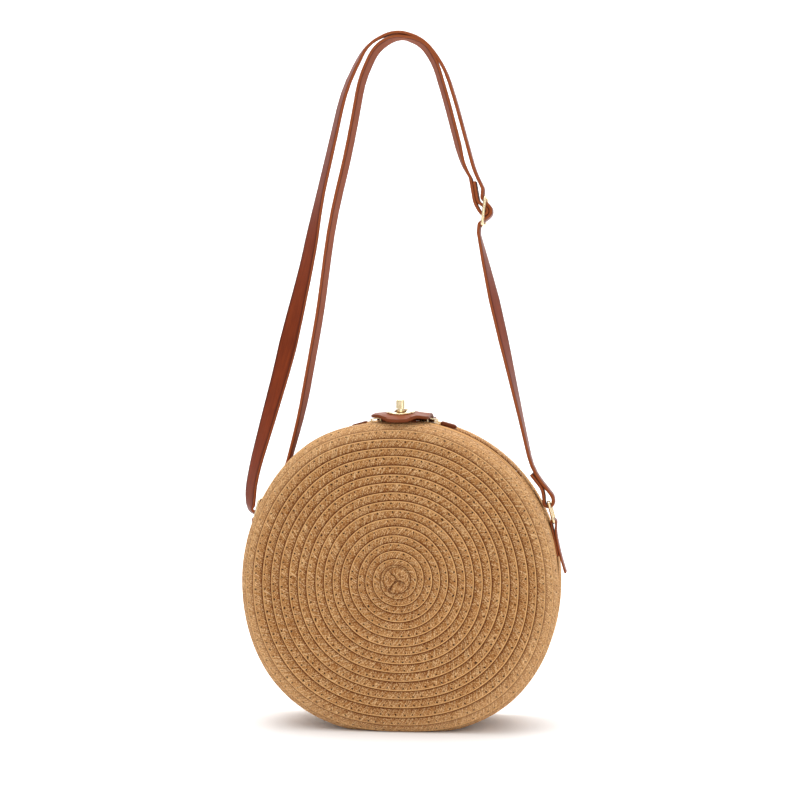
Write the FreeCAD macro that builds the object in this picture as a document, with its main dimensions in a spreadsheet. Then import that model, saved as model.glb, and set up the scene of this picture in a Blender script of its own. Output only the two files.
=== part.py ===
"""Circle bag: a round straw shoulder bag with a zipped mouth, a turn-lock flap and an adjustable strap.

Millimetres and degrees. +Z is up, +X is to the right seen from the front, and the front panel faces -Y.
The origin is the middle of the flat patch that the bag stands on.
"""
import FreeCAD, Part
import math
import os

SIZES = {
    # straw body: two dished panels and a gusset between them, flat where the bag stands
    "bag_radius": "100",
    "bag_depth": "80",
    "straw_wall": "2.5",
    "rim_round": "12",
    "panel_rim": "14",
    "flat_depth": "3",
    "seat_gap": "0.1",
    "overrun": "1",
    # zipped mouth along the top of the gusset
    "mouth_half_angle": "50",
    "mouth_half_width": "7.5",
    # lining
    "lining_gap": "1.5",
    "lining_thick": "0.6",
    "lining_lap": "1.5",
    # zipper: tape, chain and end stops
    "tape_thick": "0.8",
    "tape_margin": "5",
    "tape_tail_angle": "3",
    "chain_half_gap": "0.6",
    "chain_width": "2.5",
    "chain_thick": "1.4",
    "zip_half_angle": "46",
    "stop_length": "2.6",
    # zipper sliders and their pulls
    "slider_angle": "10.5",
    "slider_length": "10",
    "slider_width": "8.4",
    "slider_plate": "1.2",
    "slider_clearance": "0.3",
    "web_thick": "0.7",
    "web_length": "5",
    "bail_length": "7",
    "bail_width": "1.8",
    "bail_height": "2.8",
    "bail_wire": "0.9",
    "pull_wire": "1.2",
    "pull_lift": "0.4",
    "pull_tilt": "5",
    "link_length": "6",
    "pull_length": "11",
    "pull_width": "7",
    "pull_thick": "3",
    "pull_fold": "1.2",
    # closure flap of leather, hinged where it is sewn on the back strip
    "flap_width": "38",
    "flap_thick": "2.2",
    "flap_lift": "4.5",
    "flap_hinge_y": "10",
    "flap_reach": "38",
    "flap_root": "5",
    "flap_ramp": "7",
    "flap_lip": "11",
    "flap_droop": "3.4",
    "anchor_inset": "1",
    # turn lock
    "lock_y": "17",
    "patch_width": "22",
    "patch_length": "17",
    "patch_thick": "1.2",
    "base_width": "14",
    "base_length": "16.5",
    "base_thick": "1.4",
    "collar_diameter": "6.5",
    "collar_height": "4",
    "stem_diameter": "4",
    "stem_clearance": "0.05",
    "leg_width": "3",
    "leg_thick": "0.8",
    "leg_spacing": "11",
    "backing_width": "16",
    "backing_lip": "3.5",
    "backing_thick": "1",
    "plate_width": "18",
    "plate_length": "24",
    "plate_thick": "1",
    "plate_leg_spacing": "20",
    "slot_play": "1.25",
    "slot_swing_play": "1.75",
    "toggle_width": "5.5",
    "toggle_length": "12",
    "toggle_height": "6",
    "toggle_round": "1.5",
    "toggle_lift": "0.5",
    # leather side tabs and the wire rings in them
    "tab_angle": "11.9",
    "tab_thick": "1.3",
    "tab_inner_tail": "8",
    "tab_outer_tail": "18",
    "tab_loop_run": "8",
    "ring_wire": "2",
    "ring_pitch": "13.5",
    "ring_low_angle": "19.7",
    "ring_lean": "14.7",
    "ring_side_play": "0.5",
    "ring_corner": "1.4",
    "loop_gap": "0.2",
    # leather strap and its slide buckle
    "strap_width": "14",
    "strap_thick": "2",
    "strap_rise": "347",
    "strap_clearance": "0.4",
    "ring_slack": "1",
    "bight_drop": "9",
    "bight_slack": "5.4",
    "end_fold": "20.4",
    "end_merge": "9",
    "buckle_wire": "2",
    "buckle_bar": "1.8",
    "buckle_pitch": "9.2",
    "buckle_side_play": "0.5",
    "buckle_corner": "1.4",
    "buckle_lean": "6",
    "buckle_tail": "2.5",
    "fold_gap": "0.25",
    "sewn_rise": "7.6",
    "sewn_fold": "13.4",
    "sewn_lean": "15.8",
}

# Shares of the bag radius (x) and of the strap rise (z, from the bag's axis) along the strap's route
BUCKLE_SHARES = (0.522, 0.677)
SINGLE_RUN_SHARES = [(0.834, 0.196), (0.652, 0.430), (0.522, 0.590)]
OUTER_RIGHT_SHARES = [(0.458, 0.752)]
OUTER_TOP_SHARES = [
    (0.330, 0.887),
    (0.264, 0.945),
    (0.136, 0.997),
    (-0.060, 1.015),
    (-0.240, 0.992),
    (-0.388, 0.911),
    (-0.482, 0.793),
    (-0.563, 0.695),
    (-0.630, 0.590),
    (-0.798, 0.390),
]
OUTER_LEFT_SHARES = [(-0.980, 0.205)]
INNER_LEFT_SHARES = [(-0.670, 0.305)]
INNER_TOP_SHARES = [
    (-0.552, 0.490),
    (-0.474, 0.660),
    (-0.360, 0.793),
    (-0.276, 0.927),
    (-0.182, 0.984),
    (-0.045, 1.006),
    (0.120, 0.991),
    (0.202, 0.955),
    (0.279, 0.880),
]
INNER_RIGHT_SHARES = [(0.382, 0.765)]
BEND_SHARE = 0.45
RIGHT_ANGLE = 90
TOUCH = 0.001

X_AXIS = FreeCAD.Vector(1, 0, 0)
Y_AXIS = FreeCAD.Vector(0, 1, 0)
Z_AXIS = FreeCAD.Vector(0, 0, 1)

os.makedirs("parts", exist_ok=True)
doc = FreeCAD.newDocument("circle_bag")
sheet = doc.addObject("Spreadsheet::Sheet", "Dim")
for row, (alias, value) in enumerate(SIZES.items(), start=1):
    sheet.set(f"A{row}", alias)
    sheet.set(f"B{row}", value)
    sheet.setAlias(f"B{row}", alias)
doc.recompute()

nodes = []


def size(alias):
    """The value of one driving dimension."""
    return float(sheet.get(alias))


def node(obj, label):
    """Marks an object of the document as a sub-part and names it."""
    obj.Label = label
    nodes.append(obj)
    return obj


axis_height = size("bag_radius") - size("flat_depth")
top_height = axis_height + size("bag_radius")
seam_y = size("bag_depth") / 2 - size("panel_rim")
axis_point = FreeCAD.Vector(0, 0, axis_height)
tape_out = size("bag_radius") - size("straw_wall") - size("seat_gap")
chain_top = tape_out + size("seat_gap") + size("chain_thick")


# Building blocks: primitives and booleans bound to the sheet

def bind(obj, formulas):
    """Binds properties of an object to expressions on the sheet."""
    for name, formula in formulas.items():
        obj.setExpression(name, formula)
    return obj


def box(name, length, width, height, placement):
    """A block along its own X, Y and Z, with its low corner at the placement."""
    obj = bind(doc.addObject("Part::Box", name), {"Length": length, "Width": width, "Height": height})
    obj.Placement = placement
    return obj


def cylinder(name, radius, height, placement):
    """A cylinder along its own Z from the placement."""
    obj = bind(doc.addObject("Part::Cylinder", name), {"Radius": radius, "Height": height})
    obj.Placement = placement
    return obj


def drum(name, radius, reach, back_y, half_angle=None):
    """A cylinder on the bag's axis that reaches forward from back_y, whole or a sector about the top."""
    obj = bind(doc.addObject("Part::Cylinder", name), {"Radius": radius, "Height": reach})
    start = 0
    if half_angle:
        bind(obj, {"Angle": f"2 * ({half_angle})"})
        doc.recompute()
        start = RIGHT_ANGLE - obj.Angle.Value / 2
    turn = FreeCAD.Rotation(X_AXIS, RIGHT_ANGLE).multiply(FreeCAD.Rotation(Z_AXIS, start))
    obj.Placement = FreeCAD.Placement(axis_point + FreeCAD.Vector(0, back_y, 0), turn)
    return obj


def cut(name, base, tool):
    obj = doc.addObject("Part::Cut", name)
    obj.Base = base
    obj.Tool = tool
    return obj


def common(name, base, tool):
    obj = doc.addObject("Part::Common", name)
    obj.Base = base
    obj.Tool = tool
    return obj


def fuse(name, shapes):
    obj = doc.addObject("Part::MultiFuse", name)
    obj.Shapes = shapes
    obj.Refine = True
    return obj


def mirrored(name, source, normal):
    """The mirror image of a piece in the plane through the origin with this normal."""
    obj = doc.addObject("Part::Mirroring", name)
    obj.Source = source
    obj.Normal = normal
    return obj


def round_edges(name, base, radius, chosen):
    """Rounds the edges of base for which chosen(edge) is true."""
    doc.recompute()
    obj = doc.addObject("Part::Fillet", name)
    obj.Base = base
    obj.Edges = [(i, radius, radius) for i, edge in enumerate(base.Shape.Edges, start=1) if chosen(edge)]
    return obj


def feature(name, shape):
    """A piece whose shape is worked out here from the sheet's values."""
    obj = doc.addObject("Part::Feature", name)
    obj.Shape = shape
    obj.Placement = FreeCAD.Placement()
    return obj


def at_angle(angle, along, across, out):
    """A placement on the gusset: angle from the top towards +X, then along the rim, across it and out."""
    spin = FreeCAD.Placement(axis_point, FreeCAD.Rotation(Y_AXIS, angle))
    return spin.multiply(FreeCAD.Placement(FreeCAD.Vector(along, across, out), FreeCAD.Rotation()))


def upright(x, y, z):
    return FreeCAD.Placement(FreeCAD.Vector(x, y, z), FreeCAD.Rotation())


def stadium(name, width, length, height, centre_y, low_z):
    """A plate with two half-round ends, its long axis along Y, centred over x = 0."""
    doc.recompute()
    middle = box(f"{name}_middle", width, f"{length} - {width}", height, upright(0, 0, low_z))
    doc.recompute()
    half_width = middle.Length.Value / 2
    half_run = middle.Width.Value / 2
    middle.Placement = upright(-half_width, centre_y - half_run, low_z)
    ends = [
        cylinder(f"{name}_end_{i}", f"{width} / 2", height, upright(0, centre_y + sign * half_run, low_z))
        for i, sign in enumerate((-1, 1))
    ]
    return fuse(name, [middle] + ends)


# Ribbons: leather strips as straight runs joined by tangent arcs, carried across their width

def unit(from_point, to_point):
    run = math.dist(from_point, to_point)
    return ((to_point[0] - from_point[0]) / run, (to_point[1] - from_point[1]) / run)


def route_pieces(route):
    """Splits a route of (u, v, radius or None) into lines and tangent arcs: (start, end, centre or None)."""
    points = [corner[:2] for corner in route]
    pieces = []
    here = points[0]
    for before, corner, after in zip(route, route[1:], route[2:]):
        point = corner[:2]
        way_in = unit(before[:2], point)
        way_out = unit(point, after[:2])
        turn = math.atan2(
            way_in[0] * way_out[1] - way_in[1] * way_out[0],
            way_in[0] * way_out[0] + way_in[1] * way_out[1],
        )
        shorter = min(math.dist(before[:2], point), math.dist(point, after[:2]))
        half_tan = math.tan(abs(turn) / 2)
        radius = corner[2] or BEND_SHARE * shorter / half_tan
        side = math.copysign(radius, turn)
        start = tuple(point[i] - way_in[i] * radius * half_tan for i in range(2))
        end = tuple(point[i] + way_out[i] * radius * half_tan for i in range(2))
        centre = (start[0] - way_in[1] * side, start[1] + way_in[0] * side)
        if math.dist(here, start) > TOUCH:
            pieces.append((here, start, None))
        pieces.append((start, end, centre))
        here = end
    pieces.append((here, points[-1], None))
    return pieces


def route_length(route):
    """The length along the middle of a ribbon."""
    total = 0
    for start, end, centre in route_pieces(route):
        if centre is None:
            total += math.dist(start, end)
        else:
            radius = math.dist(centre, start)
            total += 2 * radius * math.asin(min(1, math.dist(start, end) / (2 * radius)))
    return total


def offset_piece(piece, offset):
    """The three points of one line or arc moved sideways by offset, to the left of its direction."""
    start, end, centre = piece
    middle = ((start[0] + end[0]) / 2, (start[1] + end[1]) / 2)
    if centre is None:
        way = unit(start, end)
        shift = (-way[1] * offset, way[0] * offset)
        return [(p[0] + shift[0], p[1] + shift[1]) for p in (start, middle, end)]
    radius = math.dist(centre, start)
    cross = (start[0] - centre[0]) * (end[1] - centre[1]) - (start[1] - centre[1]) * (end[0] - centre[0])
    moved = radius - math.copysign(1, cross) * offset
    spokes = [unit(centre, p) for p in (start, middle, end)]
    return [(centre[0] + s[0] * moved, centre[1] + s[1] * moved) for s in spokes]


def ribbon(route, thick, width, to_space, across):
    """A strip of leather along a route, thick either side of it by half, centred across its width."""
    pieces = route_pieces(route)
    left = [offset_piece(piece, thick / 2) for piece in pieces]
    right = [offset_piece(piece, -thick / 2) for piece in pieces]
    edges = []
    for points, piece in zip(left, pieces):
        edges.append(edge_through(points, piece[2], to_space))
    edges.append(edge_through([left[-1][2], None, right[-1][2]], None, to_space))
    for points, piece in zip(reversed(right), reversed(pieces)):
        edges.append(edge_through(points[::-1], piece[2], to_space))
    edges.append(edge_through([right[0][0], None, left[0][0]], None, to_space))
    face = Part.Face(Part.Wire(edges))
    face.translate(across * (-width / 2))
    return face.extrude(across * width)


def edge_through(points, centre, to_space):
    start = to_space(points[0])
    end = to_space(points[2])
    if centre is None:
        return Part.LineSegment(start, end).toShape()
    return Part.Arc(start, to_space(points[1]), end).toShape()


def in_xz(point):
    return FreeCAD.Vector(point[0], 0, point[1])


def in_yz(point):
    return FreeCAD.Vector(0, point[0], point[1])


def wire_loop(centre, along, half_along, across, half_across, corner, wire):
    """Round wire bent into a rectangle with rounded corners, as one closed tube."""
    signs = [(-1, -1), (1, -1), (1, 1), (-1, 1)]
    inner_along = half_along - corner
    inner_across = half_across - corner
    edges = []
    for (a, b), (next_a, next_b) in zip(signs, signs[1:] + signs[:1]):
        pivot = centre + along * (a * inner_along) + across * (b * inner_across)
        next_pivot = centre + along * (next_a * inner_along) + across * (next_b * inner_across)
        outward = across * b if a != next_a else along * a
        diagonal = (along * next_a + across * next_b).normalize()
        turned = along * next_a if a != next_a else across * next_b
        start = pivot + outward * corner
        end = next_pivot + outward * corner
        edges.append(Part.LineSegment(start, end).toShape())
        edges.append(Part.Arc(end, next_pivot + diagonal * corner, next_pivot + turned * corner).toShape())
    first = edges[0]
    middle = first.valueAt((first.FirstParameter + first.LastParameter) / 2)
    direction = first.tangentAt(first.FirstParameter)
    path = Part.Wire([Part.LineSegment(middle, first.Vertexes[1].Point).toShape()] + edges[1:]
                     + [Part.LineSegment(first.Vertexes[0].Point, middle).toShape()])
    profile = Part.Wire(Part.Circle(middle, direction, wire / 2).toShape())
    return path.makePipeShell([profile], True, False)


# Straw body

def layers_in(layers):
    """How far in a surface lies, as a number and as an expression to subtract."""
    return sum(size(layer) for layer in layers), "".join(f" - Dim.{layer}" for layer in layers)


def body_core(name, layers, back_y, reach, front_edge=None):
    """The bag's outside shape moved in by some layers, from back_y forward, with its standing flat."""
    inset, formula = layers_in(layers)
    round_drum = drum(f"{name}_drum", f"Dim.bag_radius{formula}", reach, back_y)
    doc.recompute()
    floor_y = back_y - round_drum.Height.Value
    floor = box(
        f"{name}_floor",
        "2 * Dim.bag_radius",
        reach,
        "Dim.flat_depth + Dim.overrun",
        upright(-size("bag_radius"), floor_y, inset - size("flat_depth") - size("overrun")),
    )
    flat_drum = cut(f"{name}_flat", round_drum, floor)
    if front_edge is None:
        return flat_drum
    in_front = lambda edge: all(abs(vertex.Y - front_edge) < TOUCH for vertex in edge.Vertexes)
    return round_edges(f"{name}_round", flat_drum, size("rim_round") - inset, in_front)


def dish(name, outer_layers, inner_layers):
    """A dished panel: the shell between two sets of layers in, from the seam to the front face."""
    cores = []
    for part, layers, extra in (("out", outer_layers, 0), ("in", inner_layers, size("overrun"))):
        inset, formula = layers_in(layers)
        reach = f"Dim.panel_rim{formula}" + (" + Dim.overrun" if extra else "")
        front = inset - size("bag_depth") / 2
        cores.append(body_core(f"{name}_{part}", layers, extra - seam_y, reach, front))
    return cut(name, cores[0], cores[1])


def hoop(name, outer_layers, inner_layers):
    """A band round the bag between the two seams."""
    run = "Dim.bag_depth - 2 * Dim.panel_rim"
    outer = body_core(f"{name}_out", outer_layers, seam_y, run)
    inner = body_core(f"{name}_in", inner_layers, seam_y + size("overrun"), f"{run} + 2 * Dim.overrun")
    return cut(name, outer, inner)


def sector_band(name, outer, inner, reach, back_y, half_angle):
    """Part of a band about the top, between two radii."""
    whole = drum(f"{name}_out", outer, reach, back_y, half_angle)
    hollow = drum(f"{name}_in", inner, f"{reach} + 2 * Dim.overrun", back_y + size("overrun"))
    return cut(name, whole, hollow)


def make_straw_body():
    straw = ["straw_wall"]
    front = node(dish("front_dish", [], straw), "front_panel")
    node(mirrored("back_dish", front, Y_AXIS), "back_panel")
    mouth = drum(
        "mouth_sector",
        "Dim.bag_radius + Dim.overrun",
        "Dim.bag_depth",
        size("bag_depth") / 2,
        "Dim.mouth_half_angle",
    )
    node(cut("gusset", hoop("gusset_hoop", [], straw), mouth), "gusset_band")


def make_lining():
    outer = ["straw_wall", "lining_gap"]
    inner = outer + ["lining_thick"]
    front = node(dish("lining_dish", outer, inner), "lining_front")
    node(mirrored("lining_dish_back", front, Y_AXIS), "lining_back")
    lap = size("mouth_half_width") + size("lining_lap")
    mouth = drum(
        "lining_mouth",
        "Dim.bag_radius",
        "2 * (Dim.mouth_half_width + Dim.lining_lap)",
        lap,
        "Dim.mouth_half_angle + Dim.tape_tail_angle",
    )
    node(cut("lining_hoop_open", hoop("lining_hoop", outer, inner), mouth), "lining_band")


# Turn lock, on the front strip

lock_y = -size("lock_y")
base_z = top_height + size("seat_gap") + size("patch_thick") + size("seat_gap")
flap_z = top_height + size("flap_lift")
plate_z = flap_z + size("flap_thick")


def base_legs(name, play):
    """The two legs of the lock base, or the slots for them with some play."""
    grow = f" + 2 * Dim.{play}" if play else ""
    spare = size(play) if play else 0
    drop = "Dim.patch_thick + Dim.straw_wall + Dim.backing_thick + 4 * Dim.seat_gap"
    drop += " + Dim.overrun" if play else ""
    legs = []
    for side in (-1, 1):
        x = side * size("leg_spacing") / 2 - size("leg_thick") / 2 - spare
        y = lock_y - size("leg_width") / 2 - spare
        corner = upright(x, y, 0)
        leg = box(f"{name}_{side + 1}", f"Dim.leg_thick{grow}", f"Dim.leg_width{grow}", drop, corner)
        doc.recompute()
        leg.Placement = upright(x, y, base_z - leg.Height.Value)
        legs.append(leg)
    return fuse(name, legs)


def make_strips():
    strip = sector_band(
        "strip",
        "Dim.bag_radius",
        "Dim.bag_radius - Dim.straw_wall",
        "(Dim.bag_depth / 2 - Dim.panel_rim - Dim.mouth_half_width)",
        -size("mouth_half_width"),
        "Dim.mouth_half_angle",
    )
    node(cut("strip_front", strip, base_legs("strip_slots", "seat_gap")), "top_strip_front")
    node(mirrored("strip_back", strip, Y_AXIS), "top_strip_back")


def pad_on_band(name, outer, inner, width, front_y, back_y):
    """A patch of a thin band about the top, of a given width, between two depths."""
    doc.recompute()
    back = size("bag_depth") / 2
    band = sector_band(f"{name}_band", outer, inner, "Dim.bag_depth", back, "Dim.mouth_half_angle")
    plan = doc.addObject("Part::Box", f"{name}_plan")
    bind(plan, {"Length": width, "Height": "2 * Dim.bag_radius"})
    plan.Width = back_y - front_y
    doc.recompute()
    plan.Placement = upright(-plan.Length.Value / 2, front_y, axis_height)
    return common(name, band, plan)


def make_lock():
    patch_out = "Dim.bag_radius + Dim.seat_gap + Dim.patch_thick"
    half_patch = size("patch_length") / 2
    patch = pad_on_band(
        "patch",
        patch_out,
        "Dim.bag_radius + Dim.seat_gap",
        "Dim.patch_width",
        lock_y - half_patch,
        lock_y + half_patch,
    )
    node(cut("patch_slotted", patch, base_legs("patch_slots", "seat_gap")), "lock_patch")

    plate = stadium("base_plate", "Dim.base_width", "Dim.base_length", "Dim.base_thick", lock_y, base_z)
    collar_z = base_z + size("base_thick")
    collar = cylinder("collar", "Dim.collar_diameter / 2", "Dim.collar_height", upright(0, lock_y, collar_z))
    bore = cylinder(
        "collar_bore",
        "Dim.stem_diameter / 2 + Dim.stem_clearance",
        "Dim.base_thick + Dim.collar_height + 2 * Dim.overrun",
        upright(0, lock_y, base_z - size("overrun")),
    )
    solid = fuse("base_solid", [plate, collar, base_legs("base_legs", None)])
    node(cut("base_bored", solid, bore), "lock_base")

    tape_edge = size("mouth_half_width") + size("tape_margin") + size("overrun")
    backing = pad_on_band(
        "backing",
        "Dim.bag_radius - Dim.straw_wall - Dim.seat_gap",
        "Dim.bag_radius - Dim.straw_wall - Dim.seat_gap - Dim.backing_thick",
        "Dim.backing_width",
        lock_y - size("leg_width") / 2 - size("backing_lip"),
        -tape_edge,
    )
    node(cut("backing_slotted", backing, base_legs("backing_slots", "seat_gap")), "lock_backing")

    bar_z = plate_z + size("plate_thick") + size("toggle_lift")
    bar = box(
        "toggle_bar",
        "Dim.toggle_width",
        "Dim.toggle_length",
        "Dim.toggle_height",
        upright(-size("toggle_width") / 2, lock_y - size("toggle_length") / 2, bar_z),
    )
    rounded = round_edges(
        "toggle_round", bar, size("toggle_round"), lambda edge: edge.CenterOfMass.z > bar_z + TOUCH
    )
    stem_z = base_z + size("seat_gap")
    stem_height = (
        "Dim.flap_lift + Dim.flap_thick + Dim.plate_thick + Dim.toggle_lift"
        " - Dim.patch_thick - 3 * Dim.seat_gap"
    )
    stem = cylinder("toggle_stem", "Dim.stem_diameter / 2", stem_height, upright(0, lock_y, stem_z))
    node(fuse("toggle", [rounded, stem]), "lock_toggle")


# Closure flap

def slot_tool(name):
    """The opening in the flap and its plate that the toggle passes through."""
    width = "Dim.toggle_width + 2 * Dim.slot_play"
    length = "Dim.toggle_length + 2 * Dim.slot_swing_play"
    tool = box(name, width, length, "Dim.bag_radius", upright(0, 0, top_height))
    doc.recompute()
    tool.Placement = upright(-tool.Length.Value / 2, lock_y - tool.Width.Value / 2, top_height)
    return tool


def plate_legs(name, play):
    """The legs that hold the eyelet plate in the flap, or the slots for them."""
    grow = f" + 2 * Dim.{play}" if play else ""
    spare = size(play) if play else 0
    legs = []
    for side in (-1, 1):
        x = -size("leg_width") / 2 - spare
        y = lock_y + side * size("plate_leg_spacing") / 2 - size("leg_thick") / 2 - spare
        low = box(
            f"{name}_{side + 1}",
            f"Dim.leg_width{grow}",
            f"Dim.leg_thick{grow}",
            "Dim.flap_thick + Dim.flap_droop",
            upright(x, y, plate_z - size("flap_thick") - size("flap_droop")),
        )
        legs.append(low)
    return fuse(name, legs)


def make_flap():
    half_width = size("flap_width") / 2
    middle = size("flap_thick") / 2
    hinge_y = size("flap_hinge_y")
    root_z = top_height + size("seat_gap") + middle
    high_z = flap_z + middle
    ramp_y = hinge_y - size("flap_root") - size("flap_ramp")
    lip_y = size("flap_lip") - size("flap_reach")
    profile = [
        (hinge_y, root_z, None),
        (hinge_y - size("flap_root"), root_z, None),
        (ramp_y, high_z, None),
        (lip_y, high_z, None),
        (-size("flap_reach"), high_z - size("flap_droop"), None),
    ]
    wide = size("flap_width") + 2 * size("overrun")
    strip = feature("flap_strip", ribbon(profile, size("flap_thick"), wide, in_yz, X_AXIS))
    round_y = half_width - size("flap_reach")
    head = cylinder("flap_head", "Dim.flap_width / 2", "Dim.bag_radius", upright(0, round_y, top_height))
    run = box(
        "flap_run",
        "Dim.flap_width",
        "Dim.flap_reach + Dim.flap_hinge_y + Dim.overrun - Dim.flap_width / 2",
        "Dim.bag_radius",
        upright(-half_width, round_y, top_height),
    )
    shaped = common("flap_shaped", strip, fuse("flap_plan", [head, run]))
    slotted = cut("flap_slotted", shaped, slot_tool("flap_slot"))
    node(cut("flap", slotted, plate_legs("flap_leg_slots", "seat_gap")), "closure_flap")

    anchor = pad_on_band(
        "anchor",
        "Dim.bag_radius + Dim.seat_gap + Dim.flap_thick",
        "Dim.bag_radius + Dim.seat_gap",
        "Dim.flap_width",
        hinge_y,
        seam_y - size("anchor_inset"),
    )
    node(anchor, "flap_anchor")

    plate = stadium(
        "eyelet_blank", "Dim.plate_width", "Dim.plate_length", "Dim.plate_thick", lock_y, plate_z
    )
    open_plate = cut("eyelet_open", plate, slot_tool("eyelet_slot"))
    node(fuse("eyelet", [open_plate, plate_legs("eyelet_legs", None)]), "eyelet_plate")


# Zipper

def make_zipper():
    tape_radius = "Dim.bag_radius - Dim.straw_wall - Dim.seat_gap"
    tape = sector_band(
        "tape",
        tape_radius,
        f"{tape_radius} - Dim.tape_thick",
        "(Dim.mouth_half_width + Dim.tape_margin - Dim.chain_half_gap)",
        -size("chain_half_gap"),
        "Dim.mouth_half_angle + Dim.tape_tail_angle",
    )
    node(tape, "zip_tape_front")
    node(mirrored("tape_back", tape, Y_AXIS), "zip_tape_back")
    chain = sector_band(
        "chain",
        "Dim.bag_radius - Dim.straw_wall + Dim.chain_thick",
        "Dim.bag_radius - Dim.straw_wall",
        "Dim.chain_width",
        -size("chain_half_gap"),
        "Dim.zip_half_angle",
    )
    node(chain, "zip_chain_front")
    node(mirrored("chain_back", chain, Y_AXIS), "zip_chain_back")
    half_stop = size("chain_half_gap") + size("chain_width")
    stop = box(
        "stop",
        "Dim.stop_length",
        "2 * (Dim.chain_half_gap + Dim.chain_width)",
        "Dim.chain_thick",
        at_angle(size("zip_half_angle"), size("seat_gap"), -half_stop, tape_out + size("seat_gap")),
    )
    node(stop, "right_zip_stop")
    node(mirrored("stop_left", stop, X_AXIS), "left_zip_stop")


def make_sliders():
    angle = size("slider_angle")
    gap = size("slider_clearance")
    plate = size("slider_plate")
    half_length = size("slider_length") / 2
    half_width = size("slider_width") / 2
    high = chain_top + gap
    low = tape_out - size("tape_thick") - gap - plate
    crown = high + plate

    def plate_at(name, out):
        placement = at_angle(angle, -half_length, -half_width, out)
        return box(name, "Dim.slider_length", "Dim.slider_width", "Dim.slider_plate", placement)

    web = box(
        "slider_web",
        "Dim.web_length",
        "Dim.web_thick",
        "Dim.chain_thick + Dim.tape_thick + Dim.seat_gap + 2 * Dim.slider_clearance",
        at_angle(angle, -half_length, -size("web_thick") / 2, low + plate),
    )
    half_bail = size("bail_length") / 2
    half_bail_width = size("bail_width") / 2
    arch = box(
        "bail_block",
        "Dim.bail_length",
        "Dim.bail_width",
        "Dim.bail_height",
        at_angle(angle, -half_bail, -half_bail_width, crown),
    )
    window = box(
        "bail_window",
        "Dim.bail_length - 2 * Dim.bail_wire",
        "Dim.bail_width + 2 * Dim.overrun",
        "Dim.bail_height - Dim.bail_wire",
        at_angle(angle, size("bail_wire") - half_bail, -half_bail_width - size("overrun"), crown),
    )
    bail = cut("bail", arch, window)
    slider = fuse("slider", [plate_at("slider_top", high), plate_at("slider_bottom", low), web, bail])
    node(slider, "right_slider")
    node(mirrored("slider_left", slider, X_AXIS), "left_slider")

    wire = size("pull_wire")
    clear = size("slider_clearance")
    pin_x = half_bail - size("bail_wire") - wire / 2 - size("seat_gap")
    pin = at_angle(angle, pin_x, 0, crown + size("pull_lift") + wire / 2)
    hang = pin.multiply(FreeCAD.Placement(FreeCAD.Vector(), FreeCAD.Rotation(Y_AXIS, size("pull_tilt"))))

    def on_pull(x, y, z, turn=FreeCAD.Rotation()):
        return hang.multiply(FreeCAD.Placement(FreeCAD.Vector(x, y, z), turn))

    outer_half = half_bail_width + clear + wire
    outer_width = "(Dim.bail_width + 2 * Dim.slider_clearance + 2 * Dim.pull_wire)"
    across = FreeCAD.Rotation(X_AXIS, -RIGHT_ANGLE)
    link = [cylinder("link_pin", "Dim.pull_wire / 2", outer_width, on_pull(0, -outer_half, 0, across))]
    for i, y in enumerate((-outer_half, outer_half - wire)):
        corner = on_pull(0, y, -wire / 2)
        link.append(box(f"link_arm_{i}", "Dim.link_length", "Dim.pull_wire", "Dim.pull_wire", corner))
    bar_x = size("link_length") - wire
    corner = on_pull(bar_x, -outer_half, -wire / 2)
    link.append(box("link_bar", "Dim.pull_wire", outer_width, "Dim.pull_wire", corner))
    right_link = node(fuse("link", link), "right_pull_link")
    node(mirrored("link_left", right_link, X_AXIS), "left_pull_link")

    seat = size("seat_gap")
    fold_x = bar_x - size("pull_fold")
    leather = box(
        "pull_leather",
        "Dim.pull_length",
        "Dim.pull_width",
        "Dim.pull_thick",
        on_pull(fold_x, -size("pull_width") / 2, -size("pull_thick") / 2),
    )
    pocket = box(
        "pull_pocket",
        "Dim.pull_wire + Dim.pull_fold + Dim.seat_gap + Dim.overrun",
        f"{outer_width} + 2 * Dim.seat_gap",
        "Dim.pull_wire + 2 * Dim.seat_gap",
        on_pull(fold_x - size("overrun"), -outer_half - seat, -wire / 2 - seat),
    )
    right_pull = node(cut("pull", leather, pocket), "right_pull")
    node(mirrored("pull_left", right_pull, X_AXIS), "left_pull")


# Side tabs and rings

tab_rise = math.radians(size("tab_angle"))
tab_up = FreeCAD.Vector(-math.sin(tab_rise), 0, math.cos(tab_rise))
tab_out = FreeCAD.Vector(math.cos(tab_rise), 0, math.sin(tab_rise))
tab_origin = axis_point + tab_out * (size("bag_radius") + size("seat_gap"))
bar_out = size("tab_thick") + size("loop_gap") + size("ring_wire") / 2
low_rise = math.radians(size("ring_low_angle") - size("tab_angle"))
low_radius = (size("bag_radius") + size("seat_gap") + bar_out) / math.cos(low_rise)
low_angle = math.radians(size("ring_low_angle"))
low_bar = axis_point + FreeCAD.Vector(math.cos(low_angle), 0, math.sin(low_angle)) * low_radius
lean = math.radians(size("ring_lean"))
ring_up = FreeCAD.Vector(-math.sin(lean), 0, math.cos(lean))
high_bar = low_bar + ring_up * size("ring_pitch")


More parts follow.
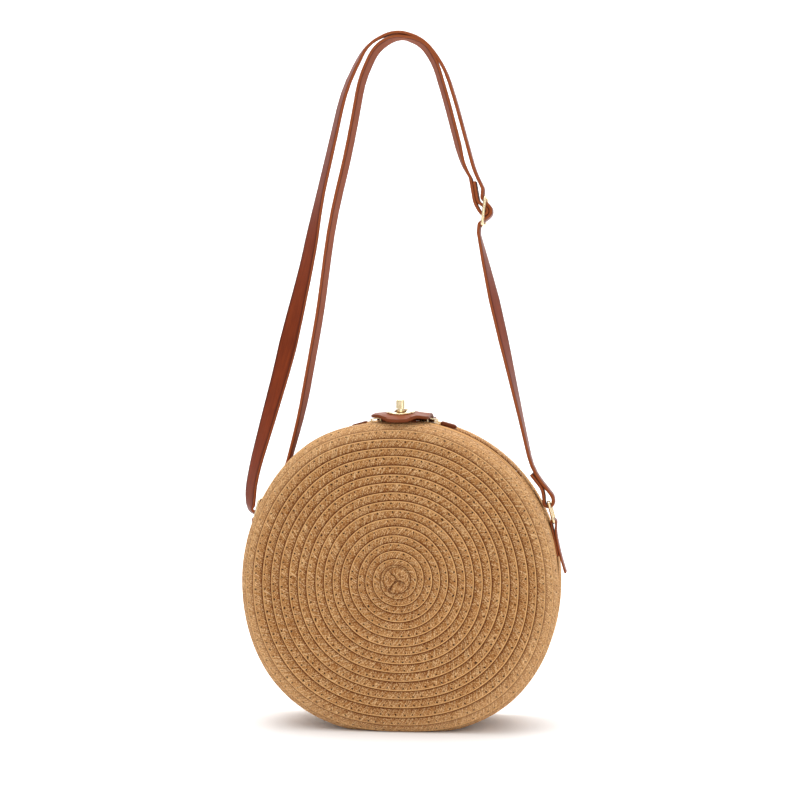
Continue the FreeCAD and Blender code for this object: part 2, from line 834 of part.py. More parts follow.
def make_side_tabs():
    bar_s = (low_bar - tab_origin).dot(tab_up)
    join_s = bar_s - size("tab_loop_run")
    turn = FreeCAD.Rotation(Y_AXIS, -size("tab_angle"))
    half_width = Y_AXIS * (-size("strap_width") / 2)
    layers = []
    for i, tail in enumerate(("tab_inner_tail", "tab_outer_tail")):
        corner = tab_origin + tab_out * (i * size("tab_thick")) - tab_up * size(tail) + half_width
        layer = bind(
            doc.addObject("Part::Box", f"tab_layer_{i}"),
            {"Length": "Dim.tab_thick", "Width": "Dim.strap_width"},
        )
        layer.Height = size(tail) + join_s
        layer.Placement = FreeCAD.Placement(corner, turn)
        layers.append(layer)
    tab = node(fuse("tab", layers), "right_side_tab")
    node(mirrored("tab_left", tab, X_AXIS), "left_side_tab")

    outer_radius = size("ring_wire") / 2 + size("loop_gap") + size("tab_thick")
    corners = [
        (join_s, 0),
        (bar_s, 0),
        (bar_s, 2 * outer_radius),
        (join_s, 2 * size("tab_thick")),
        (join_s, 0),
    ]
    outline = [tab_origin + tab_up * s + tab_out * n + half_width for s, n in corners]
    wedge = Part.Face(Part.makePolygon(outline)).extrude(Y_AXIS * size("strap_width"))
    loop_start = low_bar + half_width
    round_end = Part.makeCylinder(outer_radius, size("strap_width"), loop_start, Y_AXIS)
    eye_radius = size("ring_wire") / 2 + size("loop_gap")
    eye = Part.makeCylinder(eye_radius, size("strap_width"), loop_start, Y_AXIS)
    loop = node(feature("tab_loop", wedge.fuse(round_end).removeSplitter().cut(eye)), "right_tab_loop")
    node(mirrored("tab_loop_left", loop, X_AXIS), "left_tab_loop")


def make_rings():
    half_span = size("strap_width") / 2 + size("ring_side_play") + size("ring_wire") / 2
    middle = (low_bar + high_bar) * 0.5
    shape = wire_loop(
        middle, ring_up, size("ring_pitch") / 2, Y_AXIS, half_span, size("ring_corner"), size("ring_wire")
    )
    ring = node(feature("ring", shape), "right_ring")
    node(mirrored("ring_left", ring, X_AXIS), "left_ring")


# Strap and slide buckle

thick = size("strap_thick")
gusset_rest = size("bag_radius") + size("strap_clearance") + thick / 2
beside_bar = size("buckle_wire") / 2 + size("fold_gap") + thick / 2
CORNER_STEP = 10
BIGHT_ANGLES = [30, 40]


def over_bag(shares):
    """A corner of the route from shares of the bag radius and of the strap rise."""
    return (shares[0] * size("bag_radius"), axis_height + shares[1] * size("strap_rise"), None)


def between(first, second):
    """The middle of a run, where two lengths of strap meet end to end."""
    return ((first[0] + second[0]) / 2, (first[1] + second[1]) / 2, None)


def round_gusset(angle):
    """A corner of a ribbon that lies on the gusset, angle above the bag's axis on the +X side."""
    reach = gusset_rest / math.cos(math.radians(CORNER_STEP / 2))
    rise = math.radians(angle)
    return (reach * math.cos(rise), axis_height + reach * math.sin(rise))


buckle_point = over_bag(BUCKLE_SHARES)
tilt = math.radians(size("buckle_lean"))
buckle_up = (math.sin(tilt), math.cos(tilt))


def by_buckle(side, up, radius=None):
    """A corner placed from the buckle's middle bar: to its outer side and up along the buckle."""
    return (
        buckle_point[0] + side * buckle_up[1] + up * buckle_up[0],
        buckle_point[1] - side * buckle_up[0] + up * buckle_up[1],
        radius,
    )


bulge = beside_bar + thick + size("fold_gap")
weave_turn = math.asin((beside_bar + bulge) / size("buckle_pitch"))


def weave_route():
    """The strap through the buckle: inside the low bar, outside the middle bar, inside the high bar.

    Its first and last corners belong to the lengths of strap on either side.
    """
    pitch = size("buckle_pitch")
    half_tan = math.tan(weave_turn / 2)
    return [
        by_buckle(-beside_bar, -pitch - 2 * size("buckle_tail")),
        by_buckle(-beside_bar, -pitch - size("buckle_tail")),
        by_buckle(-beside_bar, beside_bar * half_tan - pitch, beside_bar),
        by_buckle(bulge, -bulge * half_tan, bulge),
        by_buckle(bulge, bulge * half_tan, bulge),
        by_buckle(-beside_bar, pitch - beside_bar * half_tan, beside_bar),
        by_buckle(-beside_bar, pitch + size("buckle_tail")),
        by_buckle(-beside_bar, pitch + 2 * size("buckle_tail")),
    ]


def sewn_route():
    """The strap's sewn end: the inner run folds round the middle bar and lies back against itself.

    Its last corner belongs to the length of strap above it.
    """
    apart = (thick + size("seat_gap")) / 2
    lean = math.radians(size("sewn_lean"))
    rise = size("sewn_rise")

    def on_fold(across, along, radius=None):
        """A corner by the bar, along the way that the woven strap leaves it."""
        side = across * math.cos(weave_turn) - along * math.sin(weave_turn)
        up = across * math.sin(weave_turn) + along * math.cos(weave_turn)
        return by_buckle(side, up, radius)

    def on_tail(across, along):
        """A corner on the sewn tail, which turns upright again from the end of the rise."""
        side = across * math.cos(lean) - along * math.sin(lean) - rise * math.sin(weave_turn)
        up = across * math.sin(lean) + along * math.cos(lean) + rise * math.cos(weave_turn)
        return by_buckle(side, up)

    return [
        on_tail(apart, size("sewn_fold")),
        on_tail(apart, 0),
        on_fold(beside_bar, beside_bar),
        on_fold(beside_bar, -beside_bar, beside_bar),
        on_fold(-beside_bar, -beside_bar, beside_bar),
        on_fold(-beside_bar, beside_bar),
        on_tail(-apart, 0),
        on_tail(-apart, size("sewn_fold")),
        on_tail(-apart, size("sewn_fold") + size("buckle_tail")),
    ]


def ring_end_route():
    """The strap's other end: down past the right ring's high bar, round it and back up against itself."""
    reach = size("ring_wire") / 2 + size("ring_slack") + thick / 2
    first = over_bag(SINGLE_RUN_SHARES[0])
    outer = (high_bar.x + reach, high_bar.z + reach)
    down = unit(first[:2], outer)
    inward = (down[1], -down[0])
    apart = thick + size("seat_gap")

    def beside(along):
        x = outer[0] - down[0] * along + inward[0] * apart
        z = outer[1] - down[1] * along + inward[1] * apart
        return (x, z, None)

    low_z = high_bar.z - reach
    turn = 2 * BEND_SHARE * reach
    return [
        first,
        (outer[0], outer[1], None),
        (high_bar.x + reach, low_z, turn),
        (high_bar.x - reach, low_z, turn),
        (high_bar.x - reach, high_bar.z + reach, None),
        beside(size("end_merge")),
        beside(size("end_fold")),
    ]


def bight_route():
    """The slack loop through the left ring, on the -X side: outer run down, a turn, and up on the gusset."""
    rests = [round_gusset(angle) for angle in BIGHT_ANGLES]
    low_z = high_bar.z - size("bight_drop")
    outer_x = high_bar.x + size("ring_wire") / 2 + size("bight_slack") + thick / 2
    inner_x = math.sqrt(gusset_rest**2 - (low_z - axis_height) ** 2)
    turn = BEND_SHARE * (outer_x - inner_x)
    corners = [
        (-outer_x, high_bar.z + size("ring_pitch") / 2, None),
        (-outer_x, low_z, turn),
        (-inner_x, low_z, turn),
    ]
    return corners + [(-x, z, None) for x, z in rests]


def make_strap():
    single = [over_bag(shares) for shares in SINGLE_RUN_SHARES]
    outer_right = [over_bag(shares) for shares in OUTER_RIGHT_SHARES]
    outer_top = [over_bag(shares) for shares in OUTER_TOP_SHARES]
    outer_left = [over_bag(shares) for shares in OUTER_LEFT_SHARES]
    inner_left = [over_bag(shares) for shares in INNER_LEFT_SHARES]
    inner_top = [over_bag(shares) for shares in INNER_TOP_SHARES]
    inner_right = [over_bag(shares) for shares in INNER_RIGHT_SHARES]
    weave = weave_route()
    sewn = sewn_route()
    bight = bight_route()

    single_low = between(single[0], single[1])
    single_high = between(single[1], single[2])
    outer_start = between(outer_right[-1], outer_top[0])
    outer_end = between(outer_top[-1], outer_left[0])
    inner_start = between(inner_left[-1], inner_top[0])
    inner_end = between(inner_top[-1], inner_right[0])

    routes = {
        "strap_right_end": [single_low] + ring_end_route(),
        "strap_single_run": [single_low, single[1], single_high],
        "strap_low_adjust": [single_high, single[2]] + weave[:2],
        "strap_weave": weave[1:-1],
        "strap_sewn_end": sewn[:-1],
        "strap_outer_adjust": weave[-2:] + outer_right + [outer_start],
        "strap_inner_adjust": sewn[-2:] + inner_right + [inner_end],
        "strap_outer_run": [outer_start] + outer_top + [outer_end],
        "strap_inner_run": [inner_start] + inner_top + [inner_end],
        "strap_left_bight": [outer_end] + outer_left + bight + inner_left + [inner_start],
    }
    for label, route in routes.items():
        shape = ribbon(route, thick, size("strap_width"), in_xz, Y_AXIS)
        node(feature(f"{label}_leather", shape), label)
    total = sum(route_length(route) for route in routes.values())
    print(f"strap length along its middle: {total:.0f} mm")


def make_buckle():
    centre = FreeCAD.Vector(buckle_point[0], 0, buckle_point[1])
    up = FreeCAD.Vector(buckle_up[0], 0, buckle_up[1])
    half_span = size("strap_width") / 2 + size("buckle_side_play") + size("buckle_wire") / 2
    frame = wire_loop(
        centre, up, size("buckle_pitch"), Y_AXIS, half_span, size("buckle_corner"), size("buckle_wire")
    )
    bar = Part.makeCylinder(size("buckle_bar") / 2, 2 * half_span, centre - Y_AXIS * half_span, Y_AXIS)
    node(feature("buckle", frame.fuse(bar)), "slide_buckle")


make_straw_body()
make_strips()
make_lining()
make_zipper()
make_sliders()
make_lock()
make_flap()
make_side_tabs()
make_rings()
make_strap()
make_buckle()
doc.recompute()

faulty = [obj.Name for obj in doc.Objects if "Invalid" in obj.State or "Error" in obj.State]
if faulty:
    raise RuntimeError(f"objects that failed: {faulty}")
for obj in nodes:
    if obj.Shape.isNull() or not obj.Shape.isValid():
        raise RuntimeError(f"{obj.Label} has no valid shape")
for obj in nodes:
    obj.Shape.exportStep(f"parts/{obj.Label}.step")
    print(f"{obj.Label}: {len(obj.Shape.Solids)} solid(s), {obj.Shape.Volume:.1f} mm3")
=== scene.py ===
# %% [markdown]
# # A round straw shoulder bag
# The bag is a coil of flat paper straw sewn into two dished discs, with a straw gusset between them.
# A saddle-brown strap runs through two wire rings, and a leather flap with a turn lock closes the top.
# The fixed frame comes first: it gives every size and every joint that the looks have to follow.

import math

import bmesh
import bpy
import numpy as np
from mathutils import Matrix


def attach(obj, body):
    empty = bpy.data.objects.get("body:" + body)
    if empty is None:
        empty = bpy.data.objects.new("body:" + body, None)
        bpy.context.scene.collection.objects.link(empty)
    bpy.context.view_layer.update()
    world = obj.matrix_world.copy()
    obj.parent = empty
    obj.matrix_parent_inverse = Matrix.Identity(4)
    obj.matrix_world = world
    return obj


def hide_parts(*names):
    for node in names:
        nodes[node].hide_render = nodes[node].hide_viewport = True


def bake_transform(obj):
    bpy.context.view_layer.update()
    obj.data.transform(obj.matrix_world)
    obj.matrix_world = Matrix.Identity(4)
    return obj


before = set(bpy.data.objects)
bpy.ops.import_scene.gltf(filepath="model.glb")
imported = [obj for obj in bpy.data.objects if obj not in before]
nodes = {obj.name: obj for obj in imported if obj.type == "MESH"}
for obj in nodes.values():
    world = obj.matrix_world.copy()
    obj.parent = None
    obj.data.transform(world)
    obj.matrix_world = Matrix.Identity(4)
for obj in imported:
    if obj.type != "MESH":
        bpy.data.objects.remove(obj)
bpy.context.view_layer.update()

# %% [markdown]
# ## Sizes
# These are the bag's own sizes in millimetres, as the frame has them.
# A learner can change a row pitch or a twist here and see the whole bag follow.

# %% Sizes in millimetres
MM = 0.001
AXIS_Z = 97.0
RADIUS = 100.0
HALF_DEPTH = 40.0
RIM = 12.0
SEAM_Y = 26.0
MOUTH_Y = 7.5
MOUTH_ANGLE = math.radians(50)
STRAP_WIDTH = 14.0
STRAP_THICK = 2.0
STITCH_PITCH = 4.8
ROW_PITCH = 5.67
FLAP_WIDTH = 38.0
FLAP_THICK = 2.2
LOCK_Y = -17.0
SIDES = ((1, "right"), (-1, "left"))
PANEL_FLAT = RADIUS - RIM
PANEL_REACH = PANEL_FLAT + RIM * math.pi / 2 + HALF_DEPTH - RIM - SEAM_Y
print(f"a panel reaches {PANEL_REACH:.1f} mm from its middle to its seam")

# %% [markdown]
# ## Meshes from grids
# Every new piece is a surface worked out on a grid of two numbers, such as "how far along"
# and "how far round". One function turns the points into a mesh, welds the seams where a piece asks
# for it, and turns every face outward. The small helpers before it serve several pieces.

# %% Mesh helpers


def grid_faces(rows, cols, round_rows=False, round_cols=False):
    """Quads of a grid numbered row by row; a round way joins its last line to its first."""
    r, c = np.meshgrid(
        np.arange(rows if round_rows else rows - 1),
        np.arange(cols if round_cols else cols - 1),
        indexing="ij",
    )
    next_r = (r + 1) % rows
    next_c = (c + 1) % cols
    quads = [r * cols + c, next_r * cols + c, next_r * cols + next_c, r * cols + next_c]
    return np.stack(quads, -1).reshape(-1, 4)


def with_caps(points, faces):
    """Adds a copy of a grid's first and last row of points, and closes each with one face."""
    rows, cols = points.shape[:2]
    count = rows * cols
    caps = [list(range(count, count + cols)), list(range(count + cols, count + 2 * cols))]
    return np.vstack([points.reshape(-1, 3), points[0], points[-1]]), faces.tolist() + caps


def circle(count):
    """Angles evenly spread round a full turn."""
    return np.linspace(0, 2 * np.pi, count, endpoint=False)


def unit(vectors):
    """Vectors divided by their own lengths."""
    return vectors / np.linalg.norm(vectors, axis=-1)[..., None]


def walk_along(line):
    """How far along a line each of its points is: the running sum of the steps between them."""
    return np.concatenate([[0], np.cumsum(np.linalg.norm(np.diff(line, axis=0), axis=1))])


def tube(middle, first, second, radius, count):
    """Rings round a path: radius times the cosine along the first way plus the sine along the second."""
    ring = circle(count)[None, :, None]
    across = np.cos(ring) * first[..., None, :] + np.sin(ring) * second[..., None, :]
    return middle[:, None, :] + radius * across


def make_piece(name, points, faces, uv=None, edge=None, weld=False):
    """A mesh from points in millimetres; uv holds a pair per face corner, edge a number per point."""
    mesh = bpy.data.meshes.new(name)
    polygons = faces if isinstance(faces, list) else faces.tolist()
    mesh.from_pydata((np.asarray(points) * MM).tolist(), [], polygons)
    if uv is not None:
        layer = mesh.uv_layers.new(name="UVMap")
        layer.data.foreach_set("uv", np.asarray(uv, np.float32).ravel())
    if edge is not None:
        attribute = mesh.attributes.new("edge", "FLOAT", "POINT")
        attribute.data.foreach_set("value", np.asarray(edge, np.float32).ravel())
    work = bmesh.new()
    work.from_mesh(mesh)
    if weld:
        bmesh.ops.remove_doubles(work, verts=work.verts, dist=2e-6)
        bmesh.ops.dissolve_degenerate(work, edges=work.edges, dist=1e-7)
    bmesh.ops.recalc_face_normals(work, faces=work.faces)
    work.to_mesh(mesh)
    work.free()
    mesh.polygons.foreach_set("use_smooth", np.ones(len(mesh.polygons), bool))
    mesh.update()
    piece = bpy.data.objects.new(name, mesh)
    bpy.context.scene.collection.objects.link(piece)
    return piece


def triangles(piece):
    """How many triangles a piece has: two fewer than its corners, face by face."""
    corners = np.zeros(len(piece.data.polygons), np.int32)
    piece.data.polygons.foreach_get("loop_total", corners)
    return int((corners - 2).sum())


def place(piece, body, finish, slot, *replaced):
    """Gives a piece its finish, the body it moves with and the frame pieces that it stands for."""
    piece.data.materials.clear()
    piece.data.materials.append(finish)
    if body:
        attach(piece, body)
    if replaced:
        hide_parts(*replaced)


print(f"3 by 4 points give {len(grid_faces(3, 4))} faces, or {len(grid_faces(3, 4, True))} when round")

# %% [markdown]
# ## Shader arithmetic
# Straw, leather and metal are all patterns, so they are written as sums.
# One small class wraps a shader value: adding or multiplying two values adds the node that does it.

# %% A shader value


class Tone:
    """A value in a material; arithmetic on it adds Math nodes to the same material."""

    def __init__(self, socket):
        self.socket = socket

    def node(self, kind, inputs, out=0, **settings):
        """Adds any node: its settings first, then its inputs by name or number."""
        tree = self.socket.id_data
        made = tree.nodes.new(kind)
        for key, value in settings.items():
            setattr(made, key, value)
        for key, value in inputs.items():
            if isinstance(value, Tone):
                tree.links.new(value.socket, made.inputs[key])
            else:
                made.inputs[key].default_value = value
        return Tone(made.outputs[out])

    def math(self, operation, other=0.0):
        """One Math node on this value and another."""
        return self.node("ShaderNodeMath", {0: self, 1: other}, operation=operation)

    def __add__(self, other):
        return self.math("ADD", other)

    def __radd__(self, other):
        return self.math("ADD", other)

    def __sub__(self, other):
        return self.math("SUBTRACT", other)

    def __rsub__(self, other):
        return self.node("ShaderNodeMath", {0: other, 1: self}, operation="SUBTRACT")

    def __mul__(self, other):
        return self.math("MULTIPLY", other)

    def __rmul__(self, other):
        return self.math("MULTIPLY", other)

    def between(self, low, high):
        """0 at low, 1 at high, an easy curve in between; low may be the larger."""
        inputs = {0: self, 1: low, 2: high, 3: 0.0, 4: 1.0}
        return self.node("ShaderNodeMapRange", inputs, interpolation_type="SMOOTHSTEP")

    def mixed(self, first, second):
        """A colour between two colours, this value being the share of the second."""
        return self.node(
            "ShaderNodeMix", {0: self, 6: first, 7: second}, out=2, data_type="RGBA", clamp_factor=True
        )

    def noise(self, scale, detail=2.0, rough=0.5, warp=0.0):
        """Soft random values about one half, this value being the place."""
        inputs = {"Vector": self, "Scale": scale, "Detail": detail, "Roughness": rough, "Distortion": warp}
        return self.node("ShaderNodeTexNoise", inputs)

    def scaled(self, x, y, z):
        """A place stretched along each way."""
        return self.node("ShaderNodeVectorMath", {0: self, 1: (x, y, z)}, operation="MULTIPLY")

    def part(self, number):
        """One of the three numbers of a place."""
        return self.node("ShaderNodeSeparateXYZ", {0: self}, out=number)

    def bumped(self, strength, distance):
        """A surface direction tilted by this height."""
        return self.node("ShaderNodeBump", {"Strength": strength, "Distance": distance, "Height": self})


def colour(red, green, blue):
    """A screen colour of 0 to 255 as the linear colour that shaders use."""
    share = np.array([red, green, blue]) / 255
    linear = np.where(share <= 0.04045, share / 12.92, ((share + 0.055) / 1.055) ** 2.4)
    return (*linear.tolist(), 1.0)


def new_finish(name):
    """An empty material and its place and surface-grid values."""
    material = bpy.data.materials.new(name)
    material.use_nodes = True
    coordinates = material.node_tree.nodes.new("ShaderNodeTexCoord")
    return material, Tone(coordinates.outputs["Object"]), Tone(coordinates.outputs["UV"])


def set_finish(material, values):
    """Links or sets each input of the material's main shader."""
    shader = material.node_tree.nodes["Principled BSDF"]
    for key, value in values.items():
        if isinstance(value, Tone):
            material.node_tree.links.new(value.socket, shader.inputs[key])
        else:
            shader.inputs[key].default_value = value
    return material


print(f"screen grey 128 is {colour(128, 128, 128)[0]:.3f} to a shader")

# %% [markdown]
# ## Straw
# The straw is a flat paper braid about 6 mm wide, coiled and sewn edge over edge.
# Its outer edge stands up as a ridge with a painted highlight, a row of needle holes with painted shade
# runs just inside the ridge, and fine threads and specks cover the rest of the row; their dark strokes are
# partly painted shade. The surface grid says where on a row a point is.
# The groove between rows has painted shade, and each row is painted darker towards it. On the rounded rim
# the rows are smoother, and the straw there has painted light: it is painted paler, with fainter dark
# strokes.

# %% Straw patterns
HOLE_HALF_LENGTH = 0.55
HOLE_HALF_WIDTH = 0.65
HOLE_PLACE = 0.72
straw, where, on_row = new_finish("straw")
along = on_row.part(0)
across = on_row.part(1)
drift = where.noise(160.0, 2.0)
blotch = where.noise(32.0, 3.0, 0.6)
fleck = where.noise(1500.0, 2.0, 0.6)
grit = where.noise(1250.0, 1.0)
strokes = on_row.scaled(9.5, 5.2, 1.0).noise(1.0, 2.0, 0.6, 0.4)
wisps = (on_row.scaled(11.0, 9.0, 1.0) + 40.0).noise(1.0, 1.0, 0.5, 0.3)
patches = on_row.scaled(0.9, 0.5, 1.0).noise(1.0, 2.0, 0.6)
fine_patches = (on_row.scaled(1.7, 0.2, 1.0) + 90.0).noise(1.0, 1.0)
body = across.between(0.01, 0.08) * across.between(0.9, 0.82)
# Painted shade: each row is darker towards the groove at its inner edge, under the ridge of the row inside
# it.
shade_toward_groove = across.between(HOLE_PLACE, 0.08)
# Dark strokes: partly the fibres' own tone, partly painted shade between the threads, heavier towards the
# groove.
dark = strokes.between(0.55, 0.42) * body * (shade_toward_groove * 0.6 + 0.4) * patches.between(0.2, 0.48)
bright = wisps.between(0.5, 0.63) * body * patches.between(0.3, 0.5)
hole_along = (along.math("FRACT") - 0.5 + (drift - 0.5) * 0.9) * (STITCH_PITCH / HOLE_HALF_LENGTH)
hole_across = (across - HOLE_PLACE + (drift - 0.5) * 0.2) * (ROW_PITCH / HOLE_HALF_WIDTH)
from_hole = hole_along * hole_along + hole_across * hole_across
# The hole mask dents the surface and also carries the holes' painted shade.
shaded_hole = from_hole.between(1.2, 0.25) * fine_patches.between(0.3, 0.5)
# Painted highlight: the raised ridge at a row's outer edge is painted pale, as light from above.
ridge_and_highlight = across.between(0.86, 0.92) * across.between(0.99, 0.955)
# Painted shade: the groove between rows is painted dark.
groove_shade = across.between(0.22, 0.01) * 0.92 + across.between(0.965, 1.0)
# Painted light: where the panel rounds over at the rim, the straw is painted paler.
axis_place = (0.0, 0.0, AXIS_Z * MM)
from_axis = where.node("ShaderNodeVectorMath", {0: where, 1: axis_place}, operation="SUBTRACT")
flat_way = from_axis.scaled(1.0, 0.0, 1.0)
reach = flat_way.node("ShaderNodeVectorMath", {0: flat_way}, out=1, operation="LENGTH")
depth = where.part(1).math("ABSOLUTE")
rim_painted_light = reach.between(0.086, 0.1) * depth.between(0.012, 0.026)
print("straw patterns: threads, specks, needle holes, ridge and groove along each row")

# %% Straw colours
# The base brown is painted darker towards the groove, as shade.
base = (blotch * 0.5 + fleck * 0.5 + patches * 0.4 - 0.2 - shade_toward_groove * 0.25).mixed(
    colour(145, 92, 42), colour(199, 148, 93)
)
tint = (bright * 0.6).mixed(base, colour(234, 196, 146))
# The dark strokes, partly painted shade, are fainter on the rim, where painted light lies.
tint = (dark * (0.95 - rim_painted_light * 0.2)).mixed(tint, colour(84, 37, 4))
tint = (grit.between(0.48, 0.34) * 0.55).mixed(tint, colour(104, 50, 8))
tint = (grit.between(0.54, 0.68) * 0.45).mixed(tint, colour(238, 198, 142))
# Painted highlight on the ridge.
tint = (ridge_and_highlight * 0.85).mixed(tint, colour(226, 174, 114))
# Painted shade in the groove between rows.
tint = (groove_shade * 0.92).mixed(tint, colour(80, 35, 4))
# Painted shade: the needle holes are painted dark inside.
tint = (shaded_hole * 0.95).mixed(tint, colour(44, 20, 6))
# Painted light on the rounded rim.
tint = (rim_painted_light * 0.2).mixed(tint, colour(232, 190, 140))
height = strokes * 0.8 + wisps * 0.7 + fleck * 0.2 - shaded_hole * 1.2 - ridge_and_highlight * 0.3
set_finish(
    straw,
    {
        "Base Color": tint,
        "Roughness": 0.72 - ridge_and_highlight * 0.08,
        "Normal": height.bumped(0.9, 0.00038),
        "Specular IOR Level": 0.15,
    },
)
print("straw finish: each pattern mixed in as its own brown")

# %% [markdown]
# ## Leather
# The leather is smooth saddle brown with a light polish, cut into strips. The dye gathers along the
# corners and the cut edge stays the paler colour of the raw hide. The face of a strip that looks in towards
# the middle of the strap's loop has a painted sheen: it is painted paler, towards the edge colour, and made
# a little rougher. The number "edge" on each point says how near it is to a cut edge, and a strip's
# sheen face is marked in its grid by a large number, which no plain face reaches.

# %% Leather finish
SHEEN_FACE_MARK = 100.0


def make_leather(name, deep, warm, edge_and_sheen_colour, coat):
    """Smooth leather: two browns mixed by noise and streaks, a pore grain, dark corners, raw edges and a
    painted sheen on the marked face.
    """
    material, place_at, on_strip = new_finish(name)
    streak = on_strip.scaled(0.05, 0.75, 1.0).noise(1.0, 3.0, 0.6, 0.3)
    cloud = place_at.noise(45.0, 3.0, 0.55)
    pores = place_at.noise(2100.0, 2.0, 0.55)
    crease = place_at.scaled(1.0, 1.0, 0.35).noise(420.0, 3.0, 0.6, 0.4)
    cut = place_at.node("ShaderNodeAttribute", {}, out=2, attribute_name="edge")
    brown = (cloud * 0.5 + crease * 0.3 + streak * 1.3 - 0.55).mixed(deep, warm)
    # Painted sheen: the marked face is painted paler, towards the edge colour, as light on it.
    painted_sheen_face = on_strip.part(1).between(SHEEN_FACE_MARK - 20, SHEEN_FACE_MARK - 19)
    brown = (painted_sheen_face * 0.6).mixed(brown, edge_and_sheen_colour)
    brown = (cut.between(0.03, 0.28) * 0.75).mixed(brown, colour(66, 20, 5))
    brown = (cut.between(0.6, 0.9) * 0.9).mixed(brown, edge_and_sheen_colour)
    grain = pores * 0.5 + crease * 0.7
    return set_finish(
        material,
        {
            "Base Color": brown,
            "Roughness": 0.38 + pores * 0.12 + streak * 0.1 + cut * 0.06 + painted_sheen_face * 0.2,
            "Specular IOR Level": 0.14,
            "Coat Weight": coat,
            "Coat Roughness": 0.3,
            "Normal": grain.bumped(0.35, 0.00012),
        },
    )


# Each leather: a deep brown, a warm brown, and the raw edge colour that also paints the sheen face.
strap_browns = (colour(86, 27, 4), colour(132, 53, 15), colour(144, 74, 38))
flap_browns = (colour(102, 40, 5), colour(146, 70, 16), colour(112, 54, 24))
leather = make_leather("leather", *strap_browns, 0.02)
flap_leather = make_leather("flap_leather", *flap_browns, 0.0)
print("two leathers: the strap's and the lighter flap's")

# %% [markdown]
# ## Gilt metal, tape, coil, thread and lining
# The rings, buckle, slider and lock are pale gilt zinc, polished and then lacquered.
# The zipper is a brown woven tape with a nylon coil. The lining is a plain cotton.

# %% Other finishes
gilt, where, _ = new_finish("gilt_metal")
smear = where.noise(260.0, 3.0, 0.6)
set_finish(
    gilt,
    {
        "Base Color": smear.mixed(colour(218, 186, 132), colour(250, 236, 204)),
        "Metallic": 1.0,
        "Roughness": 0.12 + smear * 0.12,
        "Normal": where.noise(700.0, 2.0).bumped(0.03, 0.0001),
    },
)

tape, where, _ = new_finish("zip_tape")
weave = (where.scaled(2600.0, 0.0, 2600.0).noise(1.0) + where.noise(900.0)) * 0.5
set_finish(
    tape,
    {
        "Base Color": weave.mixed(colour(84, 48, 28), colour(128, 78, 46)),
        "Roughness": 0.8,
        "Normal": weave.bumped(0.5, 0.0002),
    },
)

coil_finish, where, _ = new_finish("zip_coil")
set_finish(
    coil_finish,
    {
        "Base Color": where.noise(300.0).mixed(colour(98, 52, 28), colour(134, 78, 44)),
        "Roughness": 0.42,
        "Normal": where.noise(1500.0).bumped(0.1, 0.0001),
    },
)

thread_finish, where, _ = new_finish("sewing_thread")
strand = where.noise(1800.0, 2.0)
set_finish(
    thread_finish,
    {
        "Base Color": strand.mixed(colour(126, 72, 40), colour(176, 112, 66)),
        "Roughness": 0.65,
        "Normal": strand.bumped(0.4, 0.0001),
    },
)

cotton, where, _ = new_finish("lining_cotton")
checker = (where.noise(1200.0, 1.0) + where.scaled(1.0, 3.0, 1.0).noise(1500.0, 1.0)) * 0.5
set_finish(
    cotton,
    {
        "Base Color": checker.mixed(colour(176, 140, 100), colour(206, 172, 130)),
        "Roughness": 0.9,
        "Normal": checker.bumped(0.4, 0.0002),
    },
)
print("gilt metal, zip tape, zip coil, thread and lining")

# %% [markdown]
# ## The coiled panels
# A real panel starts as a folded knot. The braid is coiled round it, each turn sewn over the last.
# Here the row's inner edge is one spiral, and the row at any place lies between that edge and the edge
# one turn on. Because both rows share the edge, the coil has no gaps. The panel is dished by bending the
# spiral over the rim.

# %% Straw rows
ROW_PLACES = np.array([0.0, 0.06, 0.18, 0.42, 0.66, 0.77, 0.86, 0.93, 0.975, 1.0])
ROW_HEIGHTS = np.array([0.0, 0.14, 0.30, 0.44, 0.50, 0.36, 0.74, 0.90, 0.45, 0.0])
ROW_BASE = 0.5
STEPS_ROUND = 360
KNOT = 8.4
TIGHTENING = 1.5
LOOSEN_TURNS = 3.5
ROW_MIDDLE = 0.45
PANEL_BULGE = 0.9
PANEL_WALL = 2.3
KNOT_REACHES = np.array([0.97, 0.92, 0.84, 0.75, 0.66, 0.57, 0.48, 0.39, 0.3, 0.2, 0.1, 0.0])
WALL_REACHES = np.array([PANEL_REACH, 104.0, 99.0, 94.0, 88.0, 74.0, 60.0, 45.0, 30.0, 20.0, 10.0, 0.0])
# Each crease of the knot: the degrees at which it starts, how far it curls, and its share of the radius.
KNOT_CREASES = [(100.0, 46.0, 0.74), (223.0, 12.0, 0.96), (-8.0, -18.0, 0.66)]


def unevenness(turns):
    """A smooth wander in millimetres along the coil, as three slow waves that never line up."""
    return (
        0.16 * np.sin(2 * np.pi * 1.37 * turns + 0.4)
        + 0.13 * np.sin(2 * np.pi * 2.71 * turns + 1.9)
        + 0.09 * np.sin(2 * np.pi * 4.13 * turns + 4.1)
    )


def row_edge(turns):
    """The spiral: knot radius plus pitch times turns, tighter near the knot, held between knot and seam."""
    tight = TIGHTENING * LOOSEN_TURNS * (1 - np.exp(-np.maximum(turns, 0) / LOOSEN_TURNS))
    edge = KNOT + ROW_PITCH * turns - tight + unevenness(turns)
    return np.clip(np.where(turns < 0, KNOT, edge), KNOT, PANEL_REACH)


print(f"the row's edge is {row_edge(np.array([10.0]))[0]:.1f} mm out after 10 turns")

# %% The dished panel
FULLNESS = np.array(
    [(0, 0.3), (20, -0.5), (40, -0.7), (60, -0.3), (80, 0.0), (100, 0.4), (108, 1.8), (118, 4.0)]
    + [(126, 4.0), (142, 2.6), (160, 1.2), (180, 1.4), (190, 2.2), (200, 3.4), (212, 4.8), (225, 5.4)]
    + [(238, 4.2), (250, 2.2), (262, 0.5), (270, 0.0), (278, 0.5), (290, 2.5), (302, 4.6), (315, 6.2)]
    + [(328, 5.4), (340, 3.8), (350, 1.6), (360, 0.3)]
)


